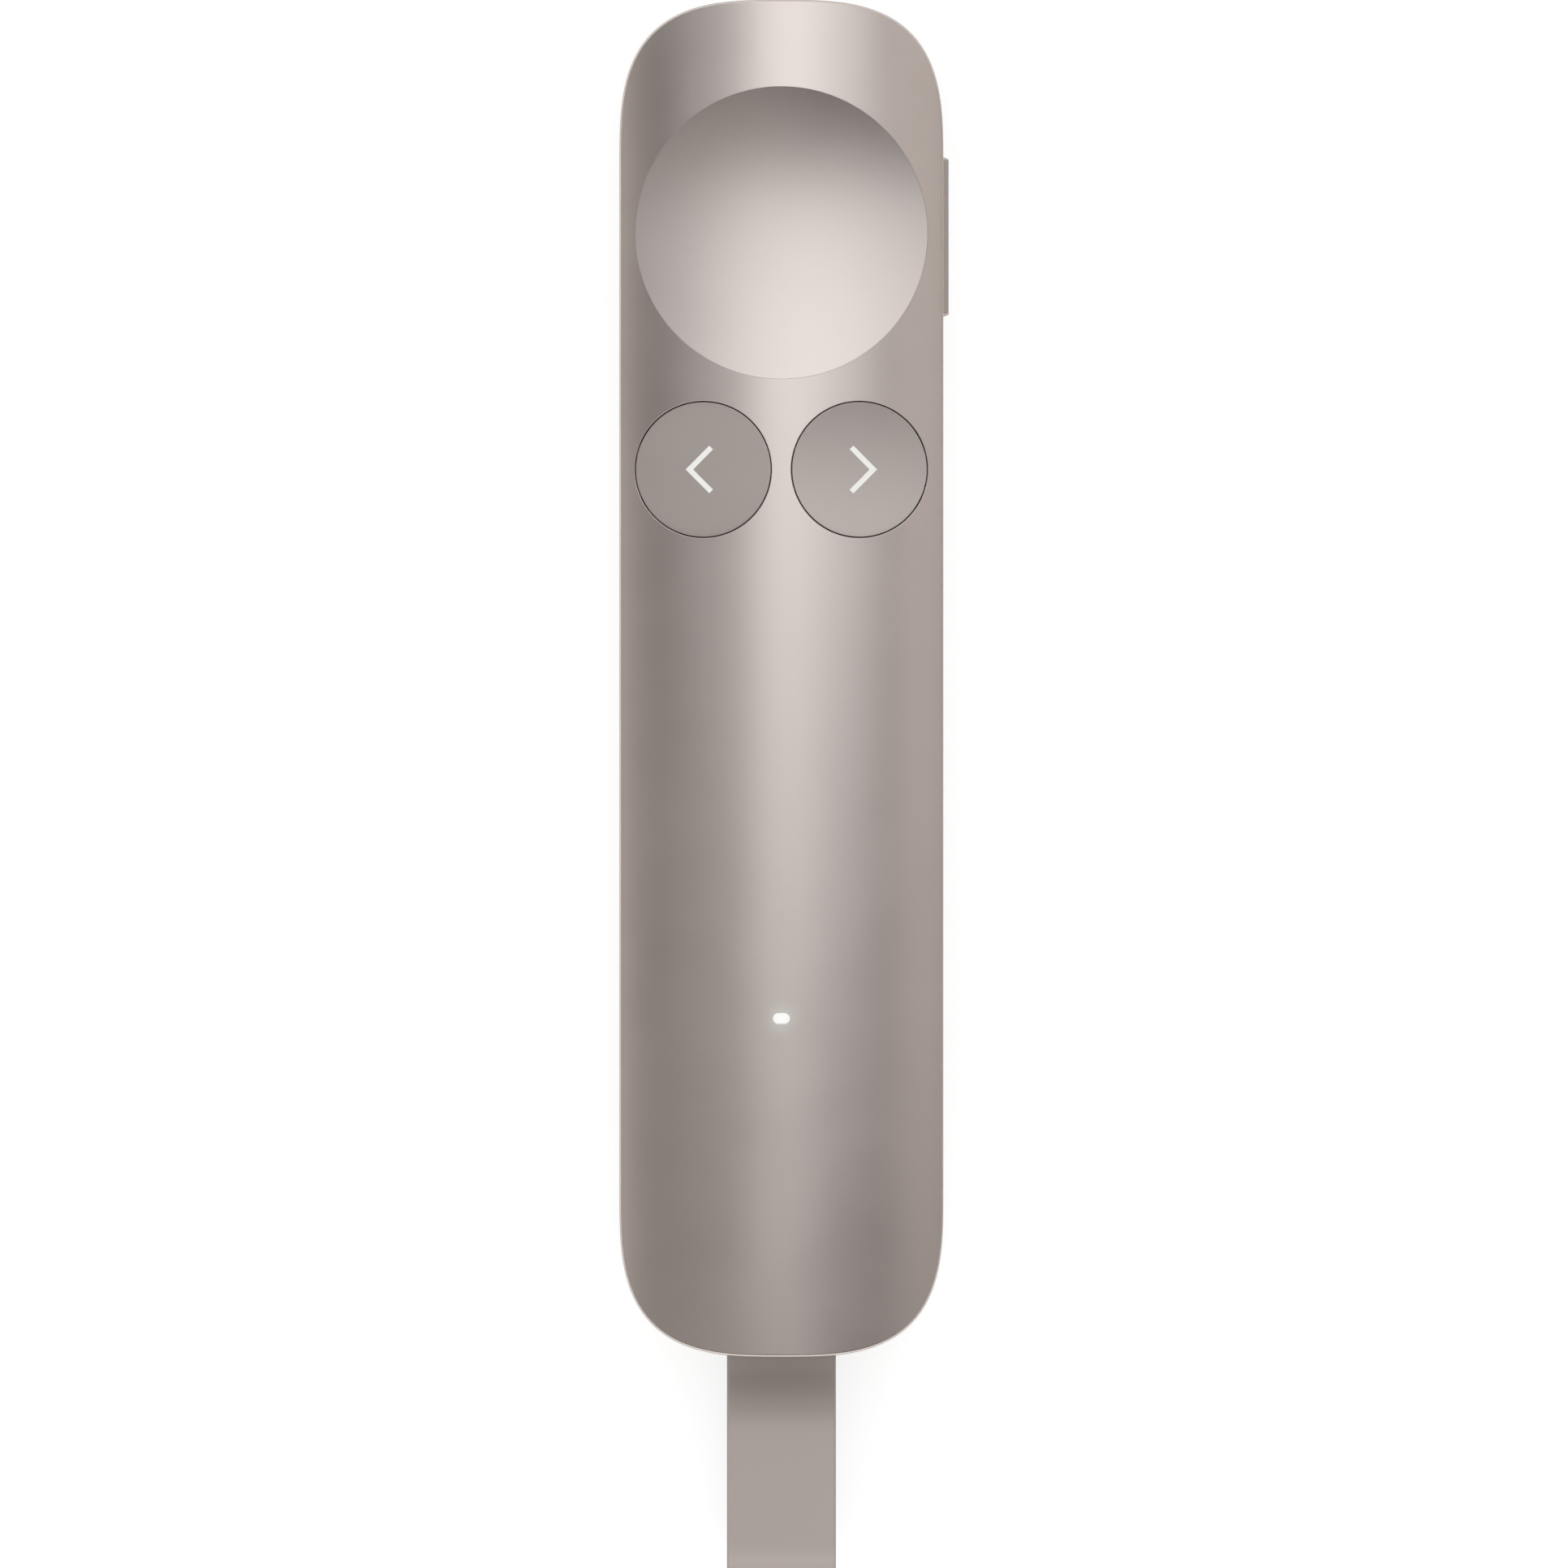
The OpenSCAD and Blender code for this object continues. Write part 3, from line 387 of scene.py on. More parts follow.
def plate_zones(edge):
    """The plan loops round the dish, the keys and the window, and the plain stretch between them.

    edge holds the plan points where the plate meets its edge, one for each station. Each loop runs
    counter-clockwise and is closed.
    """
    (above_right, above_left), (below_right, below_left), (window_right, window_left) = (
        marks[name] for name in ("above_keys", "below_keys", "above_window"))
    half = edge[station(above_right)][0]
    across = np.linspace(-half, half, plate_steps + 1)
    left_half, right_half = slice(plate_steps // 2 + 1), slice(plate_steps // 2, None)

    def line(y, part=slice(None), step=1):
        return flat(across[part][::step], y)

    def joined(*parts):
        return np.concatenate([p[:-1] for p in parts[:-1]] + [parts[-1]])

    def rim(start, end):
        return edge[loop_slice(start, end)]

    centre = flat(0.0, np.linspace(below_keys_y, above_keys_y, plate_steps // 4 + 1))
    nose = joined(rim(above_right, above_left), line(above_keys_y))
    right = joined(line(below_keys_y, right_half), rim(below_right, above_right),
                   line(above_keys_y, right_half, -1), centre[::-1])
    left = joined(line(below_keys_y, left_half), centre, line(above_keys_y, left_half, -1),
                  rim(above_left, below_left))
    tail = joined(rim(window_left, window_right), line(above_window_y, step=-1))
    return nose, right, left, tail, rim(window_right, below_right), across


def ring_angles(loop, centre):
    """Angles of a loop's points about a centre, growing steadily."""
    return np.unwrap(np.arctan2(loop[:, 1] - centre[1], loop[:, 0] - centre[0]))


# Each hole's centre, width, height and rim, and the shares of the way from it to the loop round it.
holes = (
    ((0, dish_y), 2 * dish_bore_r, 2 * dish_bore_r, dish_rim, np.linspace(0, 1, 15)),
    ((key_x, key_y), 2 * key_bore_r, 2 * key_bore_r, key_rim, np.linspace(0, 1, 13)),
    ((-key_x, key_y), 2 * key_bore_r, 2 * key_bore_r, key_rim, np.linspace(0, 1, 13)),
    ((0, window_y), window_w + 2 * window_gap, window_h + 2 * window_gap, window_rim,
     np.linspace(0, 1, 45) ** 1.6),
)


def front_shell():
    """The crowned metal top: a drum's face cut by the outline, rounded over into upright walls.

    The face is laid out as rulings from each hole's rim to the loop round it, lifted onto the drum.
    The same layout, one plate thickness lower, is the underside.
    """
    skin = Skin()
    over_rows, over_normals = round_over(rim_points, rim_normals, edge_r, crown_axis_z, crown_r, 6)
    skin.add(over_rows, over_normals)
    inner_points = rim_points - wall * rim_normals

    for level, edge in (("top", over_rows[0][:, :2]), ("under", inner_points)):
        drop, sign = (0, 1) if level == "top" else (plate, -1)
        *loops, side, across = plate_zones(edge)
        for (centre, width, height, rim, shares), loop in zip(holes, loops):
            plan, inward = pill_at(centre, width, height, ring_angles(loop, centre))
            if level == "top":
                rows, normals = round_over(plan, inward, rim, crown_axis_z, crown_r, 4)
                under, _ = crown_point(plan, plate)
                skin.add(rows, normals)
                skin.add(np.stack([rows[-1], under]), np.stack([normals[-1], normals[-1]]))
                plan = rows[0][:, :2]
            face, up = crown_point(spread(plan, loop, shares), drop)
            skin.add(face, sign * up)
        face, up = crown_point(flat(across, side[:, 1:]), drop)
        skin.add(face, sign * up)

    # The walls, left open at the side button's slot and the receiver's bay.
    in_slot = loop_slice(*marks["slot"])
    in_bay = loop_slice(*marks["bay"])
    seam_rows, seam_normals = seam_edge(1)
    skin.add(seam_rows, seam_normals)
    top = over_rows[-1][:, 2]
    low = np.full(len(stations), seam_z + seam_r)
    wall_band(skin, rim_points, low, top, in_slot, in_bay)
    inner_top = crown_point(inner_points, plate)[0][:, 2]
    wall_band(skin, inner_points, np.full(len(stations), seam_z), inner_top, in_slot, in_bay, -1)
    foot = rim_points - seam_r * rim_normals
    outside_bay = loop_slice(marks["bay"][1], marks["bay"][0])
    skin.add(np.stack([vec(*foot.T, seam_z)[outside_bay], vec(*inner_points.T, seam_z)[outside_bay]]), -UP)
    slot_sides(skin, in_slot, inner_points)
    bay_opening(skin, in_bay, top[in_bay], inner_top[in_bay], 1)
    for x, y in ((-screw_x, tail_screw_y), (screw_x, tail_screw_y), (-screw_x, mid_screw_y),
                 (screw_x, mid_screw_y), (0, nose_screw_y)):
        boss(skin, x, y)
    return skin_object("front_shell_skin", skin)


def seam_edge(up):
    """The small round edge between the outer wall and the seam, over the seam (1) or under it (-1)."""
    turn = np.radians(np.linspace(0, 90, 4))[:, None]
    out = np.cos(turn)[..., None] * rim_normals
    plan = rim_points - seam_r * rim_normals + seam_r * out
    return (vec(plan[..., 0], plan[..., 1], seam_z + up * seam_r * (1 - np.sin(turn))),
            vec(out[..., 0], out[..., 1], -up * np.sin(turn)))


def wall_band(skin, points, low, top, in_slot, in_bay, sign=1):
    """Upright wall between two heights, without the slot's and the bay's cells."""
    heights = [top, np.full(len(top), slot_high_z), np.full(len(top), slot_low_z), low]
    way = sign * vec(*rim_normals.T, 0)
    for k in range(3):
        keep = np.ones(len(top), int)
        keep[in_bay[:-1]] = keep[-1] = 0
        if k == 1:
            keep[in_slot[:-1]] = 0
        for a, b in np.flatnonzero(np.diff(np.concatenate([[0], keep, [0]]))).reshape(-1, 2):
            part = slice(a, b + 1)
            skin.add(np.stack([vec(*points[part].T, z[part]) for z in heights[k:k + 2]]), way[part])


def slot_sides(skin, in_slot, inner_points):
    """The four sides of the slot that the side button comes through, as deep as the wall."""
    outer, inner = rim_points[in_slot], inner_points[in_slot]
    for z, way in ((slot_low_z, 1.0), (slot_high_z, -1.0)):
        skin.add(np.stack([vec(*outer.T, z), vec(*inner.T, z)]), way * UP)
    for k, way in ((0, 1.0), (-1, -1.0)):
        side = [[(*edge[k], z) for z in (slot_low_z, slot_high_z)] for edge in (outer, inner)]
        skin.add(np.array(side), np.array([0, way, 0]))


def bay_curve(side):
    """Half of the bay's round-cornered opening in the tail, over the seam (1) or under it (-1)."""
    turn = np.radians(np.linspace(0, 90, 9))
    w, h = bay_w / 2, bay_h / 2
    cx, cz = w - bay_r, h - bay_r
    x = np.concatenate([[-w, -w], -cx - bay_r * np.cos(turn), cx + bay_r * np.sin(turn), [w, w]])
    z = np.concatenate([[seam_z - port_z, side * cz / 2 + (seam_z - port_z) / 2],
                        side * (cz + bay_r * np.sin(turn)), side * (cz + bay_r * np.cos(turn)),
                        [side * cz / 2 + (seam_z - port_z) / 2, seam_z - port_z]])
    return x, z + port_z


def tail_y(x):
    """The tail wall's place along the body at x."""
    share = np.minimum(np.abs(x) / half_width, 1) ** end_power
    return -(straight + end_reach * (1 - share) ** (1 / end_power))


bay_foot_steps = 8


def bay_opening(skin, in_bay, far_z, inner_far_z, side):
    """The tail wall round the receiver's bay: rulings from the opening's edge to the wall's own edge.

    That edge runs from the seam to the wall's far end, along it and back to the seam.
    """
    cx, cz = bay_curve(side)
    run = np.concatenate([[0], np.cumsum(np.hypot(np.diff(cx), np.diff(cz)))])
    across = np.linspace(-bay_reach, bay_reach, 201)
    slope = np.gradient(tail_y(across), 2 * bay_reach / 200)
    depths = []
    for inset, far, sign in ((0.0, far_z, 1), (wall, inner_far_z, -1)):
        points = rim_points[in_bay] - inset * rim_normals[in_bay]
        ox, oy = np.pad(points, ((bay_foot_steps, bay_foot_steps), (0, 0)), "edge").T
        near_z = seam_z + (side * seam_r if inset == 0 else 0)
        foot = np.linspace(near_z, far[[0, -1]], bay_foot_steps + 1)
        oz = np.concatenate([foot[:-1, 0], far, foot[-2::-1, 1]])
        edge_way = corner_match(ox, oz, cx, cz, run)
        ix, iz = np.interp(edge_way, run, cx), np.interp(edge_way, run, cz)
        iz[0] = iz[-1] = near_z
        share = np.linspace(0, 1, 5)[:, None]
        x = ix * (1 - share) + ox * share
        z = iz * (1 - share) + oz * share
        y = tail_y(x) + inset
        y[-1] = oy
        skin.add(vec(x, y, z), sign * unit(vec(np.interp(x, across, slope), -1, 0)))
        depths.append(vec(ix, y[0], iz))
    skin.add(np.stack(depths), unit((port_z * UP - depths[0]) * np.array([1, 0, 1])))


def corner_match(ox, oz, cx, cz, run):
    """Lengths along the opening's edge that face each outer point, matched by angle about its foot."""
    outer = np.unwrap(np.arctan2(oz - seam_z, ox))
    edge = np.unwrap(np.arctan2(cz - seam_z, cx))
    share = (outer - outer[0]) / (outer[-1] - outer[0])
    edge_share = (edge - edge[0]) / (edge[-1] - edge[0])
    return np.interp(share, edge_share, run)


def lathe(skin, x, y, profile, steps=40):
    """A turned solid about an upright line.

    Its profile of radii and heights runs from the top's middle outwards, down and back in, and the
    normal of each stretch is its direction turned a quarter.
    """
    turn = np.linspace(0, 2 * math.pi, steps + 1)
    c, s = np.cos(turn), np.sin(turn)
    for ends in zip(profile, profile[1:]):
        radius, height = np.array(ends, float).T[..., None]
        out, up = unit(np.array([height[0, 0] - height[1, 0], radius[1, 0] - radius[0, 0]]))
        skin.add(vec(x + radius * c, y + radius * s, height), vec(out * c, out * s, up))


def boss(skin, x, y):
    """A screw boss under the crown: an upright tube with a blind hole."""
    top = crown_z(x, plate / 2)
    hole_top = boss_z + boss_bite
    lathe(skin, x, y, [(0, top), (boss_r, top), (boss_r, boss_z), (boss_hole_r, boss_z),
                       (boss_hole_r, hole_top), (0, hole_top)])


# The rear shell

def rear_shell():
    """The back: a drum's underside with a soft flat, rounded into upright walls, with a lip over the seam."""
    skin = Skin()
    rolled = round_over(rim_points, rim_normals, back_edge_r, back_axis_z, -back_r, 10)
    edge, edge_normals = held_above(*rolled)
    skin.add(edge, edge_normals)
    in_bay = loop_slice(*marks["bay"])
    others = loop_slice(marks["bay"][1], marks["bay"][0])
    seam_rows, seam_normals = seam_edge(-1)
    skin.add(seam_rows, seam_normals)
    top = seam_rows[0][:, 2]
    edge_normals[-1, :, 2] = 0
    band = np.stack([edge[-1], vec(*rim_points.T, top)])
    skin.add(band[:, others], vec(*rim_normals[others].T, 0))
    spine_face(skin, edge[0][:, :2], 0.0, 1)

    steps = [(seam_r, seam_z, (0, 1)), (lip_inset, seam_z, (0, 1)), (lip_inset, seam_z + lip_rise, (1, 0)),
             (lip_inset + lip_t, seam_z + lip_rise, (0, 1)), (lip_inset + lip_t, None, (-1, 0))]
    floor_points = rim_points - (lip_inset + lip_t) * rim_normals
    floor_z = back_point(floor_points, floor_t)[0][:, 2]
    for (a, za, _), (b, zb, (out, up)) in zip(steps, steps[1:]):
        start = vec(*(rim_points - a * rim_normals).T, za)
        end = vec(*(rim_points - b * rim_normals).T, floor_z if zb is None else zb)
        skin.add(np.stack([start, end])[:, others], (out * vec(*rim_normals.T, 0) + up * UP)[others])
    spine_face(skin, floor_points, floor_t, -1)
    inner_edge_z = back_point(rim_points - wall * rim_normals, floor_t)[0][:, 2]
    bay_opening(skin, in_bay, edge[-1][in_bay, 2], inner_edge_z[in_bay], -1)
    return skin_object("rear_shell_skin", skin)


def spine_face(skin, edge, drop, sign):
    """The back's face: rulings from a spine along the body's middle to the edge, set on the drum."""
    spine = flat(0.0, np.clip(edge[:, 1], -straight, straight))
    face, down = back_point(spread(spine, edge, np.linspace(0, 1, 33)), drop)
    skin.add(face, sign * down)


# The dish and the keys

def dish_point(xy):
    """The dish's face: a drum round an axis along the body whose waist is an arc.

    Its distance from the axis is the waist's least distance plus the arc's rise along the body, so
    it is hollow along the body and falls away with the crown across it.
    """
    rim = dish_high[0]
    rim_drop = crown_r - math.sqrt(crown_r ** 2 - rim ** 2)
    bowl_r = rim ** 2 / (2 * dish_depth) + dish_depth / 2
    side_drop = rim_drop - dish_depth
    cross_r = rim ** 2 / (2 * side_drop) + side_drop / 2
    dy = xy[..., 1] - dish_y
    arc = np.sqrt(bowl_r ** 2 - dy ** 2)
    distance = cross_r + bowl_r - arc
    up = np.sqrt(distance ** 2 - xy[..., 0] ** 2)
    z = top_z - dish_depth - cross_r + up - dish_sink
    return vec(xy[..., 0], xy[..., 1], z), unit(vec(xy[..., 0] / up, -distance / up * dy / arc, 1))


def disc_grid(n):
    """A unit disc from a square's grid, without a pole.

    The larger of the square's two coordinates is the way out from the middle; the angle is the other
    one's share of an eighth turn from the first one's axis.
    """
    u, v = np.meshgrid(np.linspace(-1, 1, n + 1), np.linspace(-1, 1, n + 1), indexing="ij")
    along = np.abs(u) >= np.abs(v)
    out = np.where(along, u, v)
    other = np.where(along, v, u) / np.where(out == 0, 1, out) * math.pi / 4
    angle = np.where(along, other, math.pi / 2 - other)
    return flat(out * np.cos(angle), out * np.sin(angle))


def grid_border(grid):
    """A grid's border as one closed loop of its points, counter-clockwise."""
    return np.concatenate([grid[:-1, 0], grid[-1, :-1], grid[:0:-1, -1], grid[0, :0:-1], grid[:1, 0]])


def cap(skin, centre, r, rim, face, low_z, n=40, skirt=0.0, thick=0.0):
    """A round cap: its face, a small round edge, an upright side, and a level underside.

    The edge's direction turns evenly from the face's own normal there to straight out. With a skirt the
    underside is a ring of that width, and inside it the face again, lowered by the cap's thickness.
    """
    middle = np.array(centre)
    disc = disc_grid(n)
    points, normals = face(middle + (r - rim) * disc)
    skin.add(points, normals)
    out = unit(grid_border(disc))
    start = grid_border(normals)
    end = vec(out[:, 0], out[:, 1], 0)
    share = np.linspace(0, 1, 5)[:, None, None]
    way = unit((1 - share) * start + share * end)
    edge = grid_border(points) - rim * start + rim * way
    skin.add(edge, way)
    foot = vec(*(middle + r * out).T, low_z)
    skin.add(np.stack([edge[-1], foot]), end)
    if not skirt:
        skin.add(vec(*np.moveaxis(middle + r * disc, -1, 0), low_z), -UP)
        return
    under, under_normals = face(middle + (r - skirt) * disc)
    under[..., 2] -= thick
    inner_foot = vec(*(middle + (r - skirt) * out).T, low_z)
    skin.add(np.stack([foot, inner_foot]), -UP)
    skin.add(np.stack([inner_foot, grid_border(under)]), -end)
    skin.add(under, -under_normals)


def block(skin, corners):
    """A block of eight corners, indexed by their side on each axis.

    A face's normal is the cross product of two of its edges, turned away from the block's middle.
    """
    for axis in range(3):
        for side in (0, 1):
            grid = np.take(corners, side, axis)
            way = np.cross(grid[1, 0] - grid[0, 0], grid[0, 1] - grid[0, 0])
            skin.add(grid, unit(way * np.sign(way @ (grid.mean((0, 1)) - corners.mean((0, 1, 2))))))


def brick_corners(low, high):
    """The eight corners of an upright block."""
    return np.stack(np.meshgrid(*zip(low, high), indexing="ij"), -1)


def brick(skin, low, high):
    """An upright block between two corners."""
    block(skin, brick_corners(low, high))


def post(skin, x, y, r, low, high):
    """An upright round post."""
    lathe(skin, x, y, [(0, high), (r, high), (r, low), (0, low)])


stem_r = 1.6
stem_z = 9.4
tab_t = 0.6
tab_root = 0.3
key_tab_w = 5.0
dish_tab_w = 6.0
dish_t = 1.2
skirt_t = 1.0
skirt_drop = 1.0


def pointer_dish():
    """The round hollow dish with its stem and the two tabs that keep it under the shell."""
    skin = Skin()
    cap(skin, (0, dish_y), dish_r, dish_rim, dish_point, dish_low[2] + skirt_drop, 56, skirt_t, dish_t)
    post(skin, 0, dish_y, stem_r, stem_z, top_z - dish_depth - dish_t / 2)
    tab_top = crown_z(dish_tab_w / 2) - plate - near_gap
    for side in (-1, 1):
        near, far = sorted((dish_y + side * (dish_r - skirt_t), dish_y + side * (dish_high[1] - dish_y)))
        brick(skin, (-dish_tab_w / 2, near, tab_top - tab_t), (dish_tab_w / 2, far, tab_top))
    return skin_object("pointer_dish_skin", skin)


def key_face(side):
    """A key's face: a plane along the crown's chord over its bore, falling away a little across.

    The fall is the square of the way from the middle over twice the key's round radius. The right key
    is also a shallow trough: an arc along the body, whose height over the plane is the arc's sagitta.
    """
    out_z, in_z = crown_z(key_x + key_bore_r), crown_z(key_x - key_bore_r)
    slope = (in_z - out_z) / (2 * key_bore_r)
    mid_z = (out_z + in_z) / 2 - key_flush
    lean = math.hypot(1, slope)

    def face(xy):
        dx = (xy[..., 0] - side * key_x) * side
        dy = xy[..., 1] - key_y - trough_dy
        arc = np.sqrt(trough_r ** 2 - dy ** 2)
        hollow, fall = (0, 0) if side < 0 else ((trough_r - arc) * lean - trough_sink, dy / arc * lean)
        z = mid_z - slope * dx + hollow - dx ** 2 / (2 * key_round_r[side])
        return (vec(xy[..., 0], xy[..., 1], z),
                unit(vec(side * (slope + dx / key_round_r[side]), -fall, 1)))
    return face


def sloped_tab(skin, x, near, far):
    """A key's tab from under its rim outwards: a block whose top slopes down by half its height."""
    half = key_tab_w / 2
    corners = brick_corners((x - half, near, key_under_z), (x + half, far, key_under_z + tab_t))
    corners[:, 1, 1, 2] -= tab_t / 2
    block(skin, corners)


def round_key(name, side):
    """A round key with its stem and its two tabs."""
    skin = Skin()
    cap(skin, (side * key_x, key_y), key_r, key_rim, key_face(side), key_under_z, 36)
    post(skin, side * key_x, key_y, stem_r, stem_z, key_under_z + tab_t)
    for end in (-1, 1):
        sloped_tab(skin, side * key_x, key_y + end * (key_r - tab_root), key_y + end * (key_high[1] - key_y))
    return skin_object(name, skin)


# The side button

button_round = 0.35
button_edge = 0.12
button_slope = 16
flange_t = 0.6
button_flange_x = half_width - wall - near_gap - flange_t
button_switch_z = 8.5
plunger_half = 0.55
plunger_in = 0.3


def side_button():
    """The slim button on the right-hand edge: a long bar that tapers a little to its round outer edge.

    Its face is a rounded rectangle's loop; rows of it shrink by the slope's tangent, and then as the edge
    turns on a circle from the slope to the face. Behind it are its flange and its plunger.
    """
    skin = Skin()
    turn = np.radians(np.linspace(np.arange(0, 360, 90), np.arange(90, 450, 90), 7, axis=1))
    out = flat(np.cos(turn), np.sin(turn))
    hubs = np.array([button_len / 2, button_h / 2]) - button_round
    loop = hubs * np.array([[[1, 1]], [[-1, 1]], [[-1, -1]], [[1, -1]]]) + button_round * out
    loop, out = (np.concatenate([a.reshape(-1, 2), a[0, :1]]) for a in (loop, out))
    rows, ways = [], []
    x_out = button_high[0]
    inner_x = half_width - wall - near_gap
    slope = math.radians(button_slope)
    taper_x = half_width - slot_gap
    taper = (x_out - taper_x) * math.tan(slope)
    for x in (inner_x, taper_x):
        rows.append(vec(x, button_y + loop[:, 0], button_z + loop[:, 1]))
        ways.append(vec(0 if x == inner_x else math.sin(slope), out[:, 0], out[:, 1]))
    for a in np.linspace(slope, math.pi / 2, 9):
        y, z = (loop - (taper + button_edge * (1 - math.cos(a))) * out).T
        rows.append(vec(x_out - button_edge * (1 - math.sin(a)), button_y + y, button_z + z))
        ways.append(vec(math.sin(a), math.cos(a) * out[:, 0], math.cos(a) * out[:, 1]))
    skin.add(np.stack(rows), np.stack(ways))
    face = rows[-1]
    share = np.linspace(1, 0, 5)[:, None]
    skin.add(vec(x_out, face[:, 1], button_z + (face[:, 2] - button_z) * share), np.array([1.0, 0, 0]))
    brick(skin, (button_flange_x, button_low[1], button_low[2]), (inner_x, button_high[1], button_high[2]))
    brick(skin, (button_low[0], button_y - plunger_half, button_switch_z - plunger_half),
          (button_flange_x + plunger_in, button_y + plunger_half, button_switch_z + plunger_half))
    return skin_object("side_button_skin", skin)


# The strap

strap_neck_y = receiver_low[1] - 1.0
strap_hidden = 0.6
strap_spread = 6.5
strap_root = 1.2
strap_t = 1.2
strap_edge = 0.3


def strap_profile():
    """The strap's side view: two runs that part from a flat neck, and one round fold at the far end.

    Returns the outer line of the band from the neck over the top, round the fold and back, as
    distances along the body and heights about the port. The half height eases from the neck to the
    fold on half a cosine wave.
    """
    fold_r = (strap_high[2] - strap_low[2]) / 2
    fold_y = strap_low[1] + fold_r
    neck_y = strap_neck_y
    spread_y = neck_y - strap_spread
    share = np.linspace(0, 1, 33)
    y = np.concatenate([[neck_y + strap_hidden], neck_y - strap_spread * share,
                        np.linspace(spread_y, fold_y, 17)[1:]])
    h = np.concatenate([[strap_root], strap_root + (fold_r - strap_root) * (1 - np.cos(np.pi * share)) / 2,
                        np.full(16, fold_r)])
    turn = np.radians(np.linspace(90, 270, 49))[1:-1]
    y = np.concatenate([y, fold_y + fold_r * np.cos(turn), y[::-1]])
    z = np.concatenate([h, fold_r * np.sin(turn), -h[::-1]])
    return y, z


def strap_loop():
    """A flat band folded back on itself: its cross-section, a rounded bar, carried along the side view."""
    skin = Skin()
    y, z = strap_profile()
    along = unit(np.gradient(flat(y, z), axis=0))
    out = flat(along[:, 1], -along[:, 0])
    out *= np.sign(out[:, 1] * z + 1e-9 - out[:, 0])[:, None]
    half = strap_high[0]
    turn = np.radians(np.linspace(0, 90, 6))
    corner = flat(half - strap_edge + strap_edge * np.sin(turn), -strap_edge + strap_edge * np.cos(turn))
    right = np.concatenate([corner, (0, -strap_t) + corner[::-1] * (1, -1)])
    inner = np.linspace(-1, 1, 13)[1:-1] * (half - strap_edge)
    ring = np.concatenate([flat(inner, 0.0), right, flat(inner[::-1], -strap_t), right[::-1] * (-1, 1)])
    ring = np.concatenate([ring, ring[:1]])
    lead = unit(np.gradient(ring, axis=0))
    lead[0] = lead[-1] = (1, 0)
    x, up = ring.T
    skin.add(vec(x, y[:, None] + out[:, 0:1] * up, port_z + z[:, None] + out[:, 1:2] * up),
             vec(-lead[:, 1], out[:, 0:1] * lead[:, 0], out[:, 1:2] * lead[:, 0]))
    inset = strap_edge / 4
    brick(skin, (inset - half, strap_neck_y + inset, port_z + inset - strap_root),
          (half - inset, strap_high[1], port_z + strap_root - inset))
    return skin_object("strap_band", skin)


# Stage, camera and light

stage_reach = 3400.0
backdrop_high = 2600.0
stage_merge = 0.01
flag_reach = 600.0
flag_high = 620.0
flag_bearing = 13


def stage_floor():
    """The pale floor, a wide disc at the part's rest: rings as far out as the square of their share."""
    skin = Skin()
    turn = np.linspace(0, 2 * math.pi, 73)
    radius = stage_reach * np.linspace(0, 1, 13)[:, None] ** 2
    skin.add(vec(radius * np.cos(turn), radius * np.sin(turn), 0.0), UP)
    return skin_object("floor", skin, stage_merge)


def stage_wall(name, reach, high, start, end, steps):
    """An upright arc about the object, between two bearings in degrees, which faces inwards."""
    skin = Skin()
    turn = np.radians(np.linspace(start, end, steps))
    c, s = np.cos(turn), np.sin(turn)
    skin.add(vec(reach * c, reach * s, np.linspace(0, high, 3)[:, None]), vec(-c, -s, 0))
    return skin_object(name, skin, stage_merge)


IMAGE = 1932
BODY_PIXELS = 399.5
BODY_CENTRE = (962.8, 836.0)
LENS = 600
SENSOR = 36


def make_camera():
    """A long-lens camera straight above, so that the body spans the photograph's pixels."""
    camera = bpy.data.cameras.new("camera")
    camera.lens = LENS
    camera.sensor_width = SENSOR
    camera.clip_end = 20
    pixel = 2 * half_width * MM / BODY_PIXELS
    distance = IMAGE * pixel * LENS / SENSOR
    thing = put("camera", camera)
    thing.location = ((IMAGE / 2 - BODY_CENTRE[0]) * pixel, (BODY_CENTRE[1] - IMAGE / 2) * pixel,
                      top_z * MM + distance)
    bpy.context.scene.camera = thing


panel_high = 900.0


def panel(name, place, size, level, raised=0, lean=0, tint=(1, 1, 1)):
    """A studio panel that faces down, or leans by some degrees to face along the body.

    Its brightness is its power over pi times its area. One that overlaps another is raised a little,
    so that neither hides the other.
    """
    data = bpy.data.lights.new(name, "AREA")
    data.shape = "RECTANGLE"
    data.size, data.size_y = size[0] * MM, size[1] * MM
    data.energy = level * math.pi * data.size * data.size_y
    data.color = tint
    lamp = put(name, data)
    lamp.location = (place[0] * MM, place[1] * MM, (panel_high + raised) * MM)
    lamp.rotation_euler = (math.radians(lean), 0, 0)
    lamp.visible_camera = False
    return lamp


patch_w = 0.6
patch_l = 0.42
patch_soft = 1.4
patch_level = 0.022
dome_level = 0.68
cool = (1.0, 1.02, 1.04)
amber = (1.0, 0.955, 0.925)


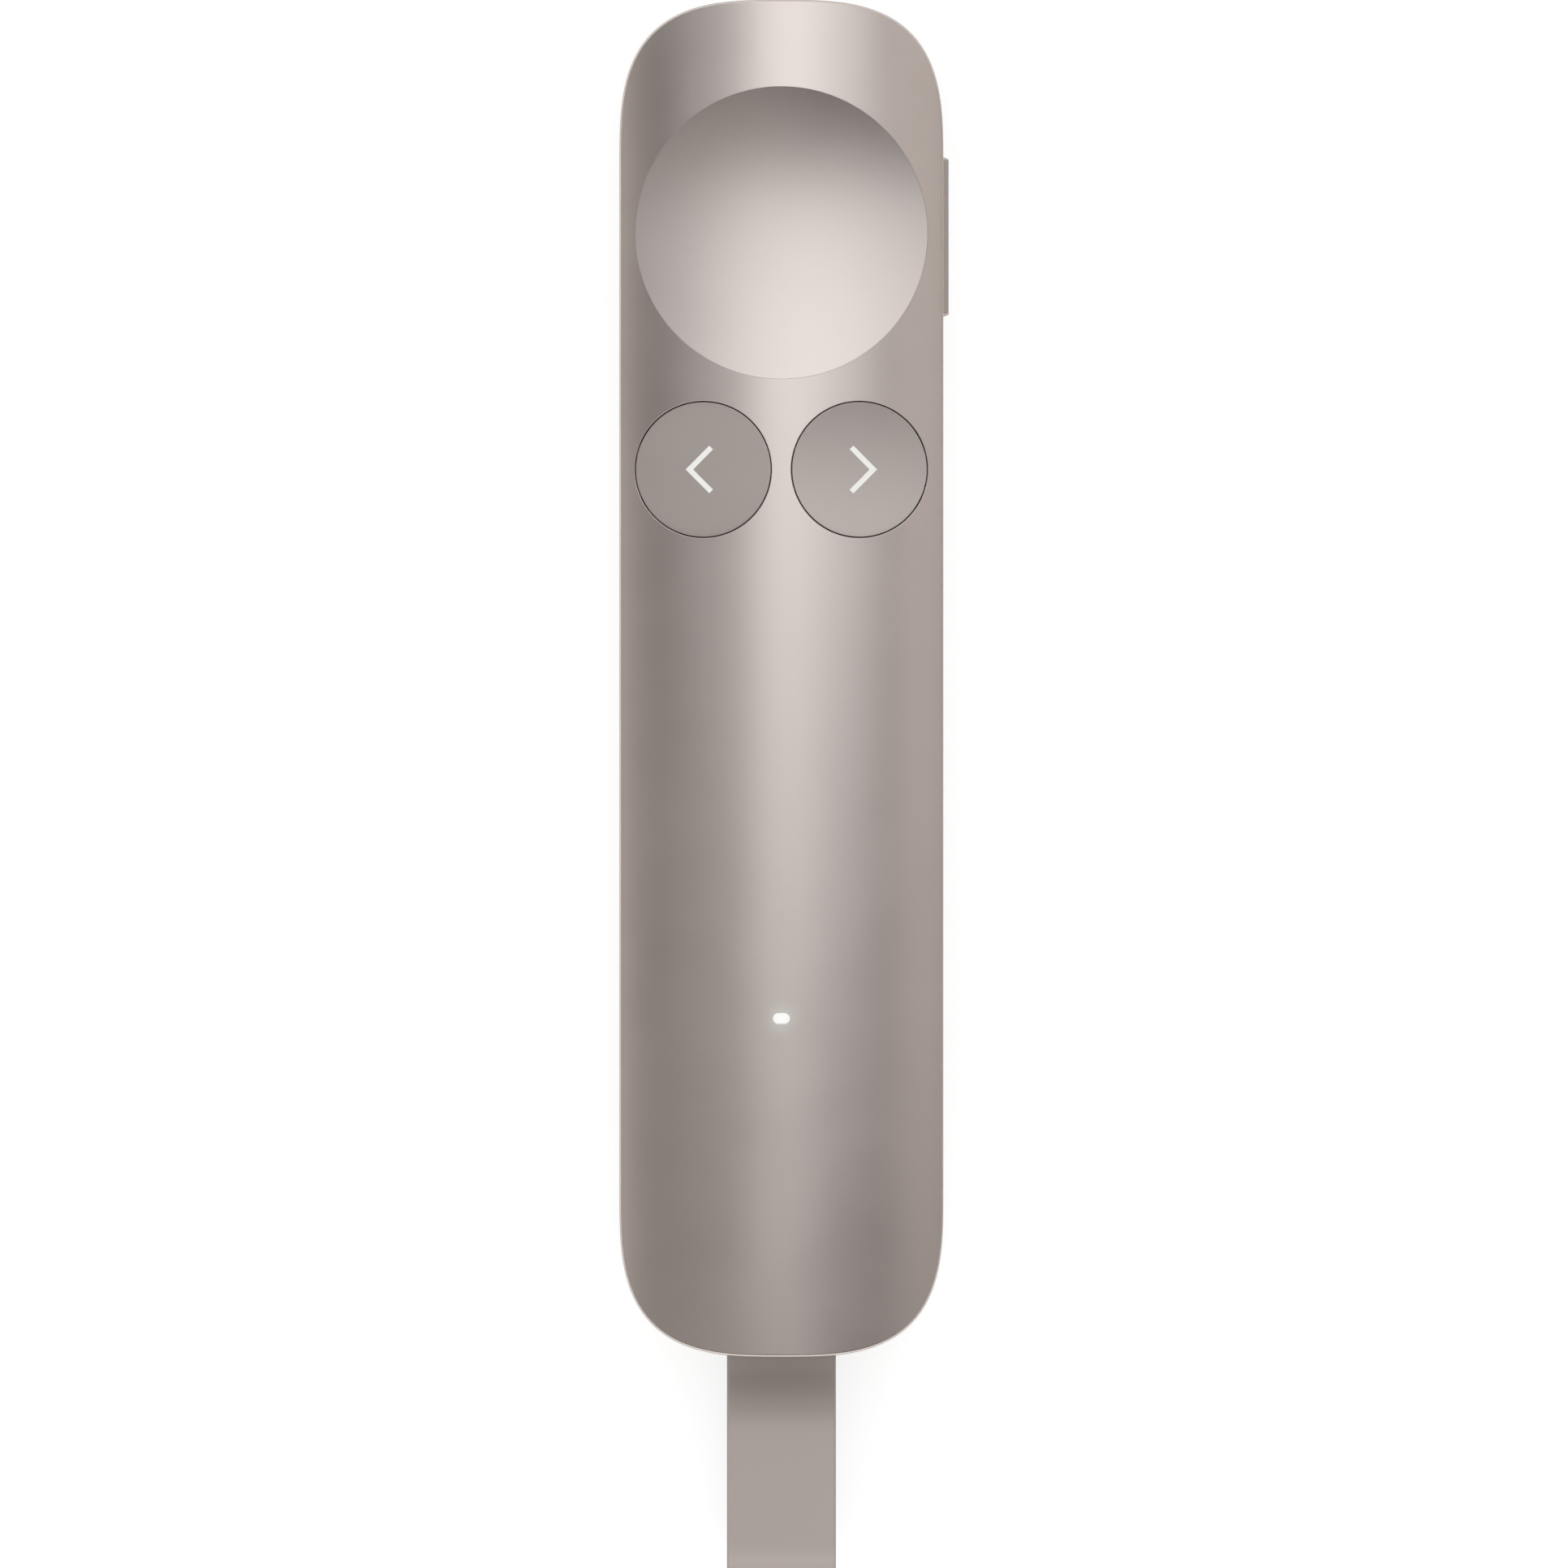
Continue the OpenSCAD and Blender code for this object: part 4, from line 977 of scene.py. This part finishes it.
def studio_dome():
    """A pale dome with a dim oval patch overhead, so that the panels alone light the crown from there.

    The way out from the zenith is the square root of (x / patch width)^2 + (y / patch length)^2 for a
    direction's x and y, and the dome's level rises smoothly over it from the patch's to its own.
    """
    world = bpy.data.worlds.new("studio_dome")
    world.use_nodes = True
    tree = world.node_tree
    way = add(tree, "TexCoord").outputs["Generated"]
    shrink = (1 / patch_w, 1 / patch_l, 0)
    scaled = add(tree, "VectorMath", {0: way, 1: shrink}, operation="MULTIPLY").outputs[0]
    out = add(tree, "VectorMath", {0: scaled}, operation="LENGTH").outputs["Value"]
    level = add(tree, "MapRange", {0: out, 1: 1.0, 2: patch_soft, 3: patch_level, 4: dome_level},
                interpolation_type="SMOOTHSTEP").outputs[0]
    tree.links.new(level, tree.nodes["Background"].inputs["Strength"])
    tree.nodes["Background"].inputs["Color"].default_value = (*amber, 1)
    return world


# Materials

def add(tree, kind, inputs=(), **settings):
    """Adds a shader node: its settings, then its inputs, each a value or the socket that feeds it."""
    node = tree.nodes.new("ShaderNode" + kind)
    for key, value in settings.items():
        setattr(node, key, value)
    for socket, value in dict(inputs).items():
        if isinstance(value, bpy.types.NodeSocket):
            tree.links.new(value, node.inputs[socket])
        else:
            node.inputs[socket].default_value = value
    return node


def new_group(name, numbers, outputs=("Colour", "Roughness", "Normal")):
    """A shader group that takes a colour and the named numbers, with the named outputs."""
    tree = bpy.data.node_groups.new(name, "ShaderNodeTree")
    tree.interface.new_socket(name="Colour", in_out="INPUT", socket_type="NodeSocketColor")
    for label in numbers:
        tree.interface.new_socket(name=label, in_out="INPUT", socket_type="NodeSocketFloat")
    kinds = {"Colour": "NodeSocketColor", "Normal": "NodeSocketVector", "Roughness": "NodeSocketFloat"}
    for label in outputs:
        tree.interface.new_socket(name=label, in_out="OUTPUT", socket_type=kinds[label])
    return tree, tree.nodes.new("NodeGroupInput").outputs, tree.nodes.new("NodeGroupOutput").inputs


NUMBERS = ("Depth", "Roughness", "Spread", "Scale", "Bump")
bump_unit = 0.01 * MM


def calc(tree, operation, *values):
    """The result of a Math node's operation on values or sockets."""
    return add(tree, "Math", dict(enumerate(values)), operation=operation).outputs[0]


def pattern_group(make):
    """A shader group named after the function that makes its pattern and its slow drift at a scale.

    It gives the colour times one plus their share of the depth, the roughness plus their share of the spread,
    and a bump as deep as a hundredth of a millimetre times the bump number.
    """
    tree, given, result = new_group(make.__name__, NUMBERS)
    pattern, drift = make(tree, given["Scale"])
    both = calc(tree, "ADD", calc(tree, "SUBTRACT", pattern, 0.5), calc(tree, "SUBTRACT", drift, 0.5))
    # The tone follows the pattern: grain in most effects, painted shade where the pattern marks creases or
    # pits.
    tone = calc(tree, "MULTIPLY_ADD", both, given["Depth"], 1.0)
    rough = calc(tree, "MULTIPLY_ADD", both, given["Spread"], given["Roughness"])
    shade = add(tree, "HueSaturation", {"Value": tone, "Color": given["Colour"]}).outputs[0]
    bump = add(tree, "Bump", {"Height": pattern, "Strength": given["Bump"], "Distance": bump_unit}).outputs[0]
    for socket, name in ((shade, "Colour"), (rough, "Roughness"), (bump, "Normal")):
        tree.links.new(socket, result[name])
    return tree


def here(tree):
    """The Object coordinates."""
    return add(tree, "TexCoord").outputs["Object"]


def noise(tree, scale, detail=2.0, rough=0.55, stretch=None):
    """Noise on Object coordinates, stretched along an axis where asked."""
    place = here(tree)
    if stretch:
        place = add(tree, "Mapping", {"Vector": place, "Scale": stretch}).outputs[0]
    inputs = {"Vector": place, "Scale": scale, "Detail": detail, "Roughness": rough}
    return add(tree, "TexNoise", inputs).outputs[0]


def slow_noise(tree, scale, share):
    """Plain noise at a share of the scale."""
    return noise(tree, calc(tree, "MULTIPLY", scale, share), 1.0)


def blasted_grain(tree, scale):
    """Fine even grain, as blasted metal and moulded plastic have: small noise over a slow drift in tone."""
    return noise(tree, scale, 3.0, 0.6), slow_noise(tree, scale, 0.02)


def drawn_lines(tree, scale):
    """Fine lines along the body, as drawn and stamped sheet has."""
    return noise(tree, scale, 2.0, 0.6, (1, 0.04, 1)), slow_noise(tree, scale, 0.05)


def scattered_cells(tree, scale, feature):
    """How far a place is from a feature of scattered cells."""
    return add(tree, "TexVoronoi", {"Vector": here(tree), "Scale": scale}, feature=feature).outputs[0]


def pouch_creases_painted_shade(tree, scale):
    """Soft creases of a laminated pouch, darkened with painted shade: the way to the nearest edge between
    scattered cells.
    """
    cells = scattered_cells(tree, scale, "DISTANCE_TO_EDGE")
    return add(tree, "MapRange", {0: cells, 1: 0.0, 2: 0.25}).outputs[0], noise(tree, scale)


def foam_cells_painted_shade(tree, scale):
    """Closed foam cells: the way from each scattered cell's middle; the tone follows it, so the pits are
    darker with painted shade.
    """
    return scattered_cells(tree, scale, "F1"), slow_noise(tree, scale, 0.1)


def board_tracks(tree, scale):
    """A board's mask over copper tracks: raised bands between the bricks of a fine bond."""
    inputs = {"Vector": here(tree), "Scale": scale, "Mortar Size": 0.06, "Mortar Smooth": 0.3,
              "Brick Width": 0.9, "Row Height": 0.22}
    return add(tree, "TexBrick", inputs, offset=0.37).outputs["Fac"], noise(tree, scale)


def lamp_and_painted_glow():
    """Light that spreads from the status window: the diode's own glow in it, and a painted glow as emission
    on the shell round it.

    It is the colour times e to minus the square of the distance over the reach.
    """
    tree, given, result = new_group("lamp_and_painted_glow", ("Reach", "Along", "Up"), ("Colour",))
    centre = add(tree, "CombineXYZ", {"Y": given["Along"], "Z": given["Up"]}).outputs[0]
    far = add(tree, "VectorMath", {0: here(tree), 1: centre}, operation="DISTANCE").outputs["Value"]
    share = calc(tree, "DIVIDE", far, given["Reach"])
    fall = calc(tree, "EXPONENT", calc(tree, "MULTIPLY", calc(tree, "MULTIPLY", share, share), -1.0))
    lit = add(tree, "VectorMath", {0: given["Colour"], "Scale": fall}, operation="SCALE").outputs[0]
    tree.links.new(lit, result["Colour"])
    return tree


effects = {make.__name__: pattern_group(make) for make in
           (blasted_grain, drawn_lines, pouch_creases_painted_shade, foam_cells_painted_shade, board_tracks)}
lamp_and_painted_glow_group = lamp_and_painted_glow()


def finish(name, colour, scale, depth, rough, spread, bump, sockets=(), halo=None, effect="blasted_grain"):
    """A material: one effect group into a Principled shader, whose other sockets are set as they are.

    Its scale is in features to a millimetre. A halo gives the colour and the reach of emission round the
    window: the diode's own glow in the window and diode, a painted glow on the shell.
    """
    material = bpy.data.materials.new(name)
    material.use_nodes = True
    tree = material.node_tree
    shader = tree.nodes["Principled BSDF"]
    group = add(tree, "Group", node_tree=effects[effect])
    group.inputs["Colour"].default_value = (*colour, 1)
    for label, value in zip(NUMBERS, (depth, rough, spread, scale * 1000, bump)):
        group.inputs[label].default_value = value
    for label, socket in (("Colour", "Base Color"), ("Roughness", "Roughness"), ("Normal", "Normal")):
        tree.links.new(group.outputs[label], shader.inputs[socket])
    for label, value in dict(sockets).items():
        shader.inputs[label].default_value = value
    # On the shell this emission is a painted glow round the window; on the window and the diode it is the
    # status light.
    if halo:
        lamp_and_painted_glow_node = add(tree, "Group", node_tree=lamp_and_painted_glow_group)
        values = (*halo, window_y * MM, window_high[2] * MM)
        for label, value in zip(("Colour", "Reach", "Along", "Up"), values):
            lamp_and_painted_glow_node.inputs[label].default_value = value
        tree.links.new(lamp_and_painted_glow_node.outputs[0], shader.inputs["Emission Color"])
        shader.inputs["Emission Strength"].default_value = 1.0
    material.diffuse_color = (*colour, 1)
    return material


def stage_paint(name, seen, mirrored, lamp, diffuse):
    """A pale stage surface over a share of diffuse.

    Its own level is the first number where the camera sees it, the second where metal or glass does,
    and the third where it lights a dull surface.
    """
    material = bpy.data.materials.new(name)
    material.use_nodes = True
    tree = material.node_tree
    tree.nodes.clear()
    path = add(tree, "LightPath").outputs
    shiny = calc(tree, "MAXIMUM", path["Is Glossy Ray"], path["Is Transmission Ray"])
    level = add(tree, "Mix", {0: shiny, 2: lamp, 3: mirrored}, data_type="FLOAT").outputs[0]
    level = add(tree, "Mix", {0: path["Is Camera Ray"], 2: level, 3: seen}, data_type="FLOAT").outputs[0]
    emission = add(tree, "Emission", {"Strength": level}).outputs[0]
    paint = add(tree, "BsdfDiffuse", {"Color": (diffuse, diffuse, diffuse, 1)}).outputs[0]
    both = add(tree, "AddShader", {0: emission, 1: paint}).outputs[0]
    add(tree, "OutputMaterial", {"Surface": both})
    return material


def dress(piece, material):
    """Gives a piece its one material."""
    piece.data.materials.clear()
    piece.data.materials.append(material)


METAL = {"Metallic": 1.0}
SATIN = {"Metallic": 0.75}
warm = (0.72, 0.643, 0.601)
glow = (0.36, 0.37, 0.36, 1)
# Each row: name, colour, pattern scale, its depth, roughness, its spread, bump.
finishes = {
    # The shell's halo paints a faint teal glow round the status window as emission: painted light.
    "shell_metal": finish("shell_metal_paint", warm, 6.5, 0.1, 0.25, 0.03, 0.05, METAL,
                          ((0.058, 0.109, 0.097, 1), 1.13 * MM)),
    "rear_metal": finish("rear_metal_paint", (0.66, 0.585, 0.545), 6.5, 0.05, 0.28, 0.03, 0.4, METAL),
    "dish_metal": finish("dish_metal_paint", (0.648, 0.579, 0.541), 6.5, 0.1, 0.25, 0.03, 0.05, METAL),
    "key_plastic": finish("key_paint", (0.58, 0.517, 0.482), 9.0, 0.03, 0.22, 0.03, 0.04, SATIN),
    "white_mark": finish("white_mark_ink", (0.84, 0.84, 0.815), 10.0, 0.02, 0.5, 0.05, 0.1),
    "light_window": finish("light_window_resin", (0.6, 0.6, 0.59), 8.0, 0.02, 0.35, 0.05, 0.1,
                           {}, (glow, 2.0 * MM)),
    "strap_rubber": finish("strap_silicone", (0.385, 0.338, 0.313), 4.0, 0.04, 0.42, 0.08, 0.3),
    "black_plastic": finish("black_plastic_moulded", (0.03, 0.029, 0.028), 5.0, 0.25, 0.42, 0.1, 0.8),
    "steel": finish("plated_steel", (0.62, 0.61, 0.6), 9.0, 0.1, 0.28, 0.1, 0.4, METAL, effect="drawn_lines"),
    "switch_metal": finish("stamped_sheet", (0.66, 0.66, 0.65), 6.0, 0.12, 0.34, 0.1, 0.5,
                           METAL, effect="drawn_lines"),
    "board_green": finish("board_mask", (0.02, 0.11, 0.05), 0.5, 0.6, 0.3, 0.1, 2.0,
                          {"Coat Weight": 0.5}, effect="board_tracks"),
    "chip_black": finish("chip_epoxy", (0.025, 0.025, 0.027), 12.0, 0.3, 0.6, 0.1, 0.8),
    "ceramic_white": finish("fired_ceramic", (0.78, 0.77, 0.73), 7.0, 0.04, 0.35, 0.1, 0.3),
    "led_white": finish("diode_resin", (0.88, 0.87, 0.8), 5.0, 0.05, 0.2, 0.05, 0.1,
                        {}, (glow, 2.0 * MM)),
    "battery_foil": finish("pouch_foil", (0.62, 0.63, 0.64), 0.35, 0.1, 0.3, 0.12, 4.0,
                           METAL, effect="pouch_creases_painted_shade"),
    "foam_grey": finish("closed_foam", (0.09, 0.09, 0.095), 4.0, 0.5, 0.85, 0.1, 5.0, effect="foam_cells_painted_shade"),
    "pad_rubber": finish("moulded_silicone", (0.1, 0.1, 0.1), 4.0, 0.2, 0.6, 0.1, 0.6),
    "wire_red": finish("wire_jacket", (0.42, 0.03, 0.02), 5.0, 0.1, 0.35, 0.1, 0.4),
    "ivory_plastic": finish("connector_nylon", (0.74, 0.7, 0.6), 5.0, 0.06, 0.45, 0.1, 0.5),
}

pieces = [
    (front_shell(), "front_shell", "housing", "shell_metal"),
    (rear_shell(), "rear_shell", "housing", "rear_metal"),
    (pointer_dish(), "pointer_dish", "dish", "dish_metal"),
    (round_key("left_key_skin", -1), "left_key", "left_key", "key_plastic"),
    (round_key("right_key_skin", 1), "right_key", "right_key", "key_plastic"),
    (side_button(), "side_button", "side_button", "key_plastic"),
    (strap_loop(), "strap_loop", "receiver", "strap_rubber"),
]
for piece, node, body, slot in pieces:
    dress(piece, finishes[slot])
    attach(piece, body)
    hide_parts(node)

# The solids that stay get fine rounded edges.
pouch_edge = 0.15
small_edge = 0.04
edge_angle = 40
weld_gap = 0.001
replaced = {row[1] for row in pieces}
for name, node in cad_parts.items():
    if name in replaced:
        continue
    node.data.materials[0] = finishes[node.data.materials[0].name]
    node.modifiers.new("joined", "WELD").merge_threshold = weld_gap * MM
    edge = node.modifiers.new("soft_edges", "BEVEL")
    edge.width = (pouch_edge if name == "battery_cell" else small_edge) * MM
    edge.segments = 2
    edge.limit_method = "ANGLE"
    edge.angle_limit = math.radians(edge_angle)

floor = stage_floor()
dress(floor, stage_paint("floor_paint", 0.75, 0.3, 0.0, 0.35))
floor.data.materials[0].cycles.emission_sampling = "NONE"
backdrop = stage_wall("backdrop", stage_reach, backdrop_high, 0, 360, 145)
dress(backdrop, stage_paint("backdrop_paint", 1.0, 1.0, 1.0, 0.0))
flag = stage_wall("grey_flag", flag_reach, flag_high, -flag_bearing, flag_bearing, 25)
flag.visible_camera = False
dress(flag, finish("flag_cloth", (0.6, 0.58, 0.56), 0.2, 0.2, 0.9, 0.05, 0.1))
make_camera()

# Each panel's name, place over the object, size and level, and where it needs them its raise and its lean.
panel("main_panel", (102, 290), (364, 645), 1.01, tint=cool)
panel("high_panel", (20, 350), (320, 380), 0.05, 12)
panel("soft_panel", (-100, 320), (420, 625), 0.475, 4, tint=cool)
panel("tail_panel", (-170, -97), (510, 235), 0.29, 8, tint=amber)
panel("left_panel", (-557, 60), (143, 595), 0.92, tint=amber)
panel("right_panel", (466, 135), (263, 480), 0.71, tint=amber)
fill = panel("fill_panel", (0, 0), (3400, 3400), 0.43, 1100)
low = panel("low_panel", (0, -1040), (1400, 560), 1.25, -300, 60)
fill.visible_glossy = low.visible_glossy = False
panel("strip_panel", (0, -1040), (1400, 560), 0.3, -290, 60)

bpy.context.scene.world = studio_dome()
bpy.context.scene.view_settings.view_transform = "Standard"
